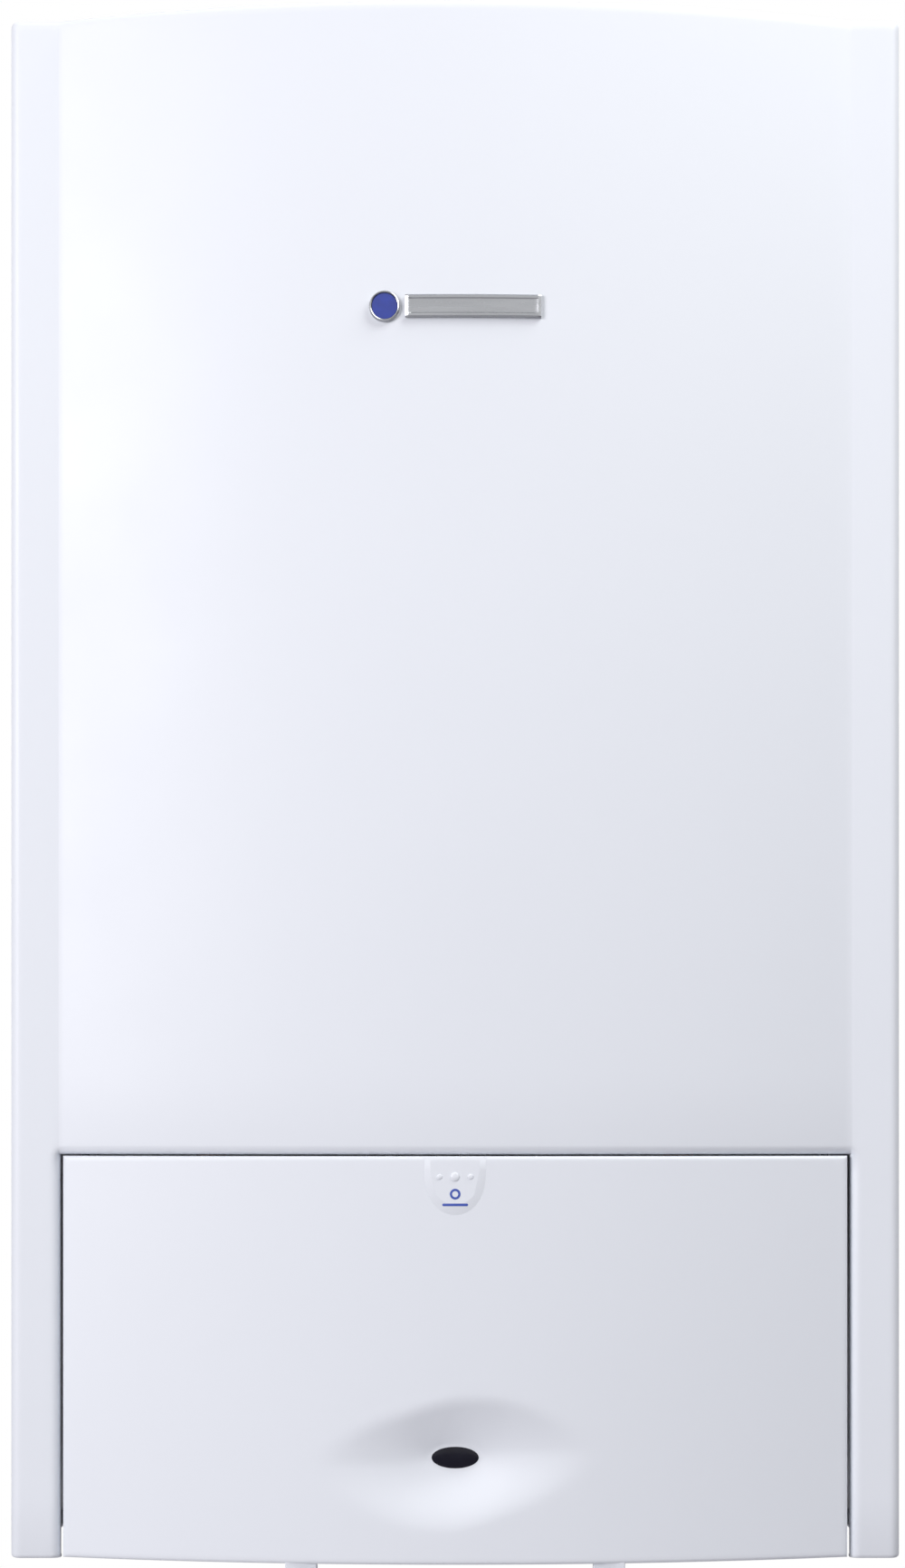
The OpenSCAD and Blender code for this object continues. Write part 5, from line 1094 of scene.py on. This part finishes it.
def make_sheet_detail():
    """Beads and rivets of the back, and screws, test caps and a blank label on the top."""
    bm = bmesh.new()
    for x in (-176.0, -60.0, 60.0, 176.0):
        box(bm, (x - 7.0, -10.4, 120.0), (x + 7.0, -8.4, 620.0), 1.6)
    for up in (40.0, 655.0):
        box(bm, (-110.0, -10.4, up - 7.0), (110.0, -8.4, up + 7.0), 1.6)
    add(bm, "back_beads", "zinc_steel", "chassis")
    bm = bmesh.new()
    head = [(0.0, 0.0), (3.4, 0.0), (3.4, 1.2), (2.6, 2.0), (1.2, 2.2), (1.2, 1.6), (0.0, 1.6)]
    for x in (-196.0, 196.0):
        for y in (-60.0, -180.0, -300.0):
            turn(bm, "z", (x, y), head, 32, 753.0)
    rear_rivet = [(0.0, 0.0), (1.6, -0.1), (2.6, -0.6), (3.0, -1.5), (0.0, -1.5)]
    for x in (-204.0, 204.0):
        for up in (60.0, 250.0, 440.0, 630.0, 735.0):
            turn(bm, "y", (x, up), [(0.0, -2.0), (1.6, -1.9), (2.8, -1.2), (3.2, 0.0), (0.0, 0.0)], 24, -11.0)
            turn(bm, "y", (x, up), rear_rivet, 24, -8.7)
    add(bm, "sheet_screws", "zinc_steel", "chassis")
    bm = bmesh.new()

    def grip(angle, r, along):
        return 0.25 * math.cos(14 * angle) if along > 2.4 else 0.0

    cap = [(0.0, 0.0), (4.6, 0.0), (4.6, 1.4), (3.9, 2.0), (3.9, 6.6), (3.2, 7.4), (0.0, 7.6)]
    for x in (-57.0, 57.0):
        turn(bm, "z", (x, FLUE_Y), cap, 40, 756.0, grip)
    add(bm, "flue_test_caps", "black_plastic", "chassis")
    bm = bmesh.new()
    box(bm, (-160.0, -204.0, 753.1), (-40.0, -164.0, 753.5), 0.0)
    add(bm, "blank_plate_label", "mark_white", "chassis")


make_exchanger_detail()
make_fan_detail()
make_gas_detail()
make_pump_detail()
make_vessel_detail()
make_tail_threads()
make_sheet_detail()

# Stage, camera and light

FLOOR_UP = -1200.0
FLOOR_RADIUS = 30.0
AMBIENT = 0.15
AIM = (0.0, -0.33, -0.3)
CAMERA_AHEAD = 1585.0
CAMERA_UP = 210.0


def make_stage():
    """Round pale floor well below the unit. Its far part fades to plain white."""
    bm = bmesh.new()
    bmesh.ops.create_circle(bm, cap_ends=True, segments=96, radius=FLOOR_RADIUS)
    mesh = bpy.data.meshes.new("floor")
    bm.to_mesh(mesh)
    bm.free()
    floor = bpy.data.objects.new("floor", mesh)
    floor.location = place(0.0, 0.0, FLOOR_UP)
    bpy.context.scene.collection.objects.link(floor)
    material = bpy.data.materials.new("floor_pale")
    material.use_nodes = True
    tree = material.node_tree
    shader = set_inputs(tree.nodes["Principled BSDF"], {"Roughness": 0.9})
    pale = ramp(tree, noise(tree, 2.0, 2.0), (0.86, 0.86, 0.87), (0.88, 0.88, 0.885))
    wire(tree, pale, shader.inputs["Base Color"])
    glow = new_node(tree, "ShaderNodeEmission", {"Color": WHITE, "Strength": 1.0})
    coords = tree.nodes.new("ShaderNodeTexCoord")
    length = tree.nodes.new("ShaderNodeVectorMath")
    length.operation = "LENGTH"
    wire(tree, coords.outputs["Object"], length.inputs[0])
    far = limits(tree, length.outputs["Value"], 0.4, 1.0, 1.0, 6.0)
    rays = tree.nodes.new("ShaderNodeLightPath")
    seen = maths(tree, "MULTIPLY", far, rays.outputs["Is Camera Ray"])
    surface = mixed(tree, seen, shader.outputs["BSDF"], glow.outputs["Emission"])
    wire(tree, surface, tree.nodes["Material Output"].inputs["Surface"])
    mesh.materials.append(material)


def make_world():
    """Soft even light, and plain white where a camera ray or a reflection misses the unit."""
    world = bpy.data.worlds.new("studio")
    bpy.context.scene.world = world
    world.use_nodes = True
    tree = world.node_tree
    tree.nodes.clear()
    ambient = new_node(tree, "ShaderNodeBackground", {"Color": (0.96, 0.90, 1.04, 1.0), "Strength": AMBIENT})
    white = new_node(tree, "ShaderNodeBackground", {"Color": WHITE, "Strength": 1.0})
    rays = tree.nodes.new("ShaderNodeLightPath").outputs
    first = maths(tree, "MAXIMUM", rays["Is Camera Ray"], rays["Is Glossy Ray"])
    both = maths(tree, "MAXIMUM", first, rays["Is Transmission Ray"])
    surface = mixed(tree, both, ambient.outputs["Background"], white.outputs["Background"])
    wire(tree, surface, tree.nodes.new("ShaderNodeOutputWorld").inputs["Surface"])


def lamp(name, where, size, power, colour):
    """Square lamp at a point in metres, aimed at the front."""
    light = bpy.data.lights.new(name, "AREA")
    light.shape = "SQUARE"
    light.size = size
    light.energy = power
    light.color = colour
    obj = bpy.data.objects.new(name, light)
    obj.location = where
    obj.rotation_euler = (Vector(AIM) - Vector(where)).to_track_quat("-Z", "Y").to_euler()
    bpy.context.scene.collection.objects.link(obj)


make_stage()
make_world()
lamp("key", (1.0, -1.0, 1.2), 1.2, 31.5, (1.0, 1.0, 0.985))
lamp("side", (-2.1, -2.35, 0.3), 1.3, 64.5, (1.0, 0.98, 1.0))

# Frame of the photograph: 1000 by 1732 pixels
cam_data = bpy.data.cameras.new("camera")
cam_data.sensor_width = 36.0
cam_data.lens = 73.65
cam_data.shift_x = -0.0017
cam_data.shift_y = 0.2229
camera = bpy.data.objects.new("camera", cam_data)
camera.location = place(0.0, STRIP_Y - CAMERA_AHEAD, CAMERA_UP)
camera.rotation_euler = (math.radians(90.0), 0.0, 0.0)
bpy.context.scene.collection.objects.link(camera)
bpy.context.scene.camera = camera
bpy.context.scene.view_settings.view_transform = "Standard"
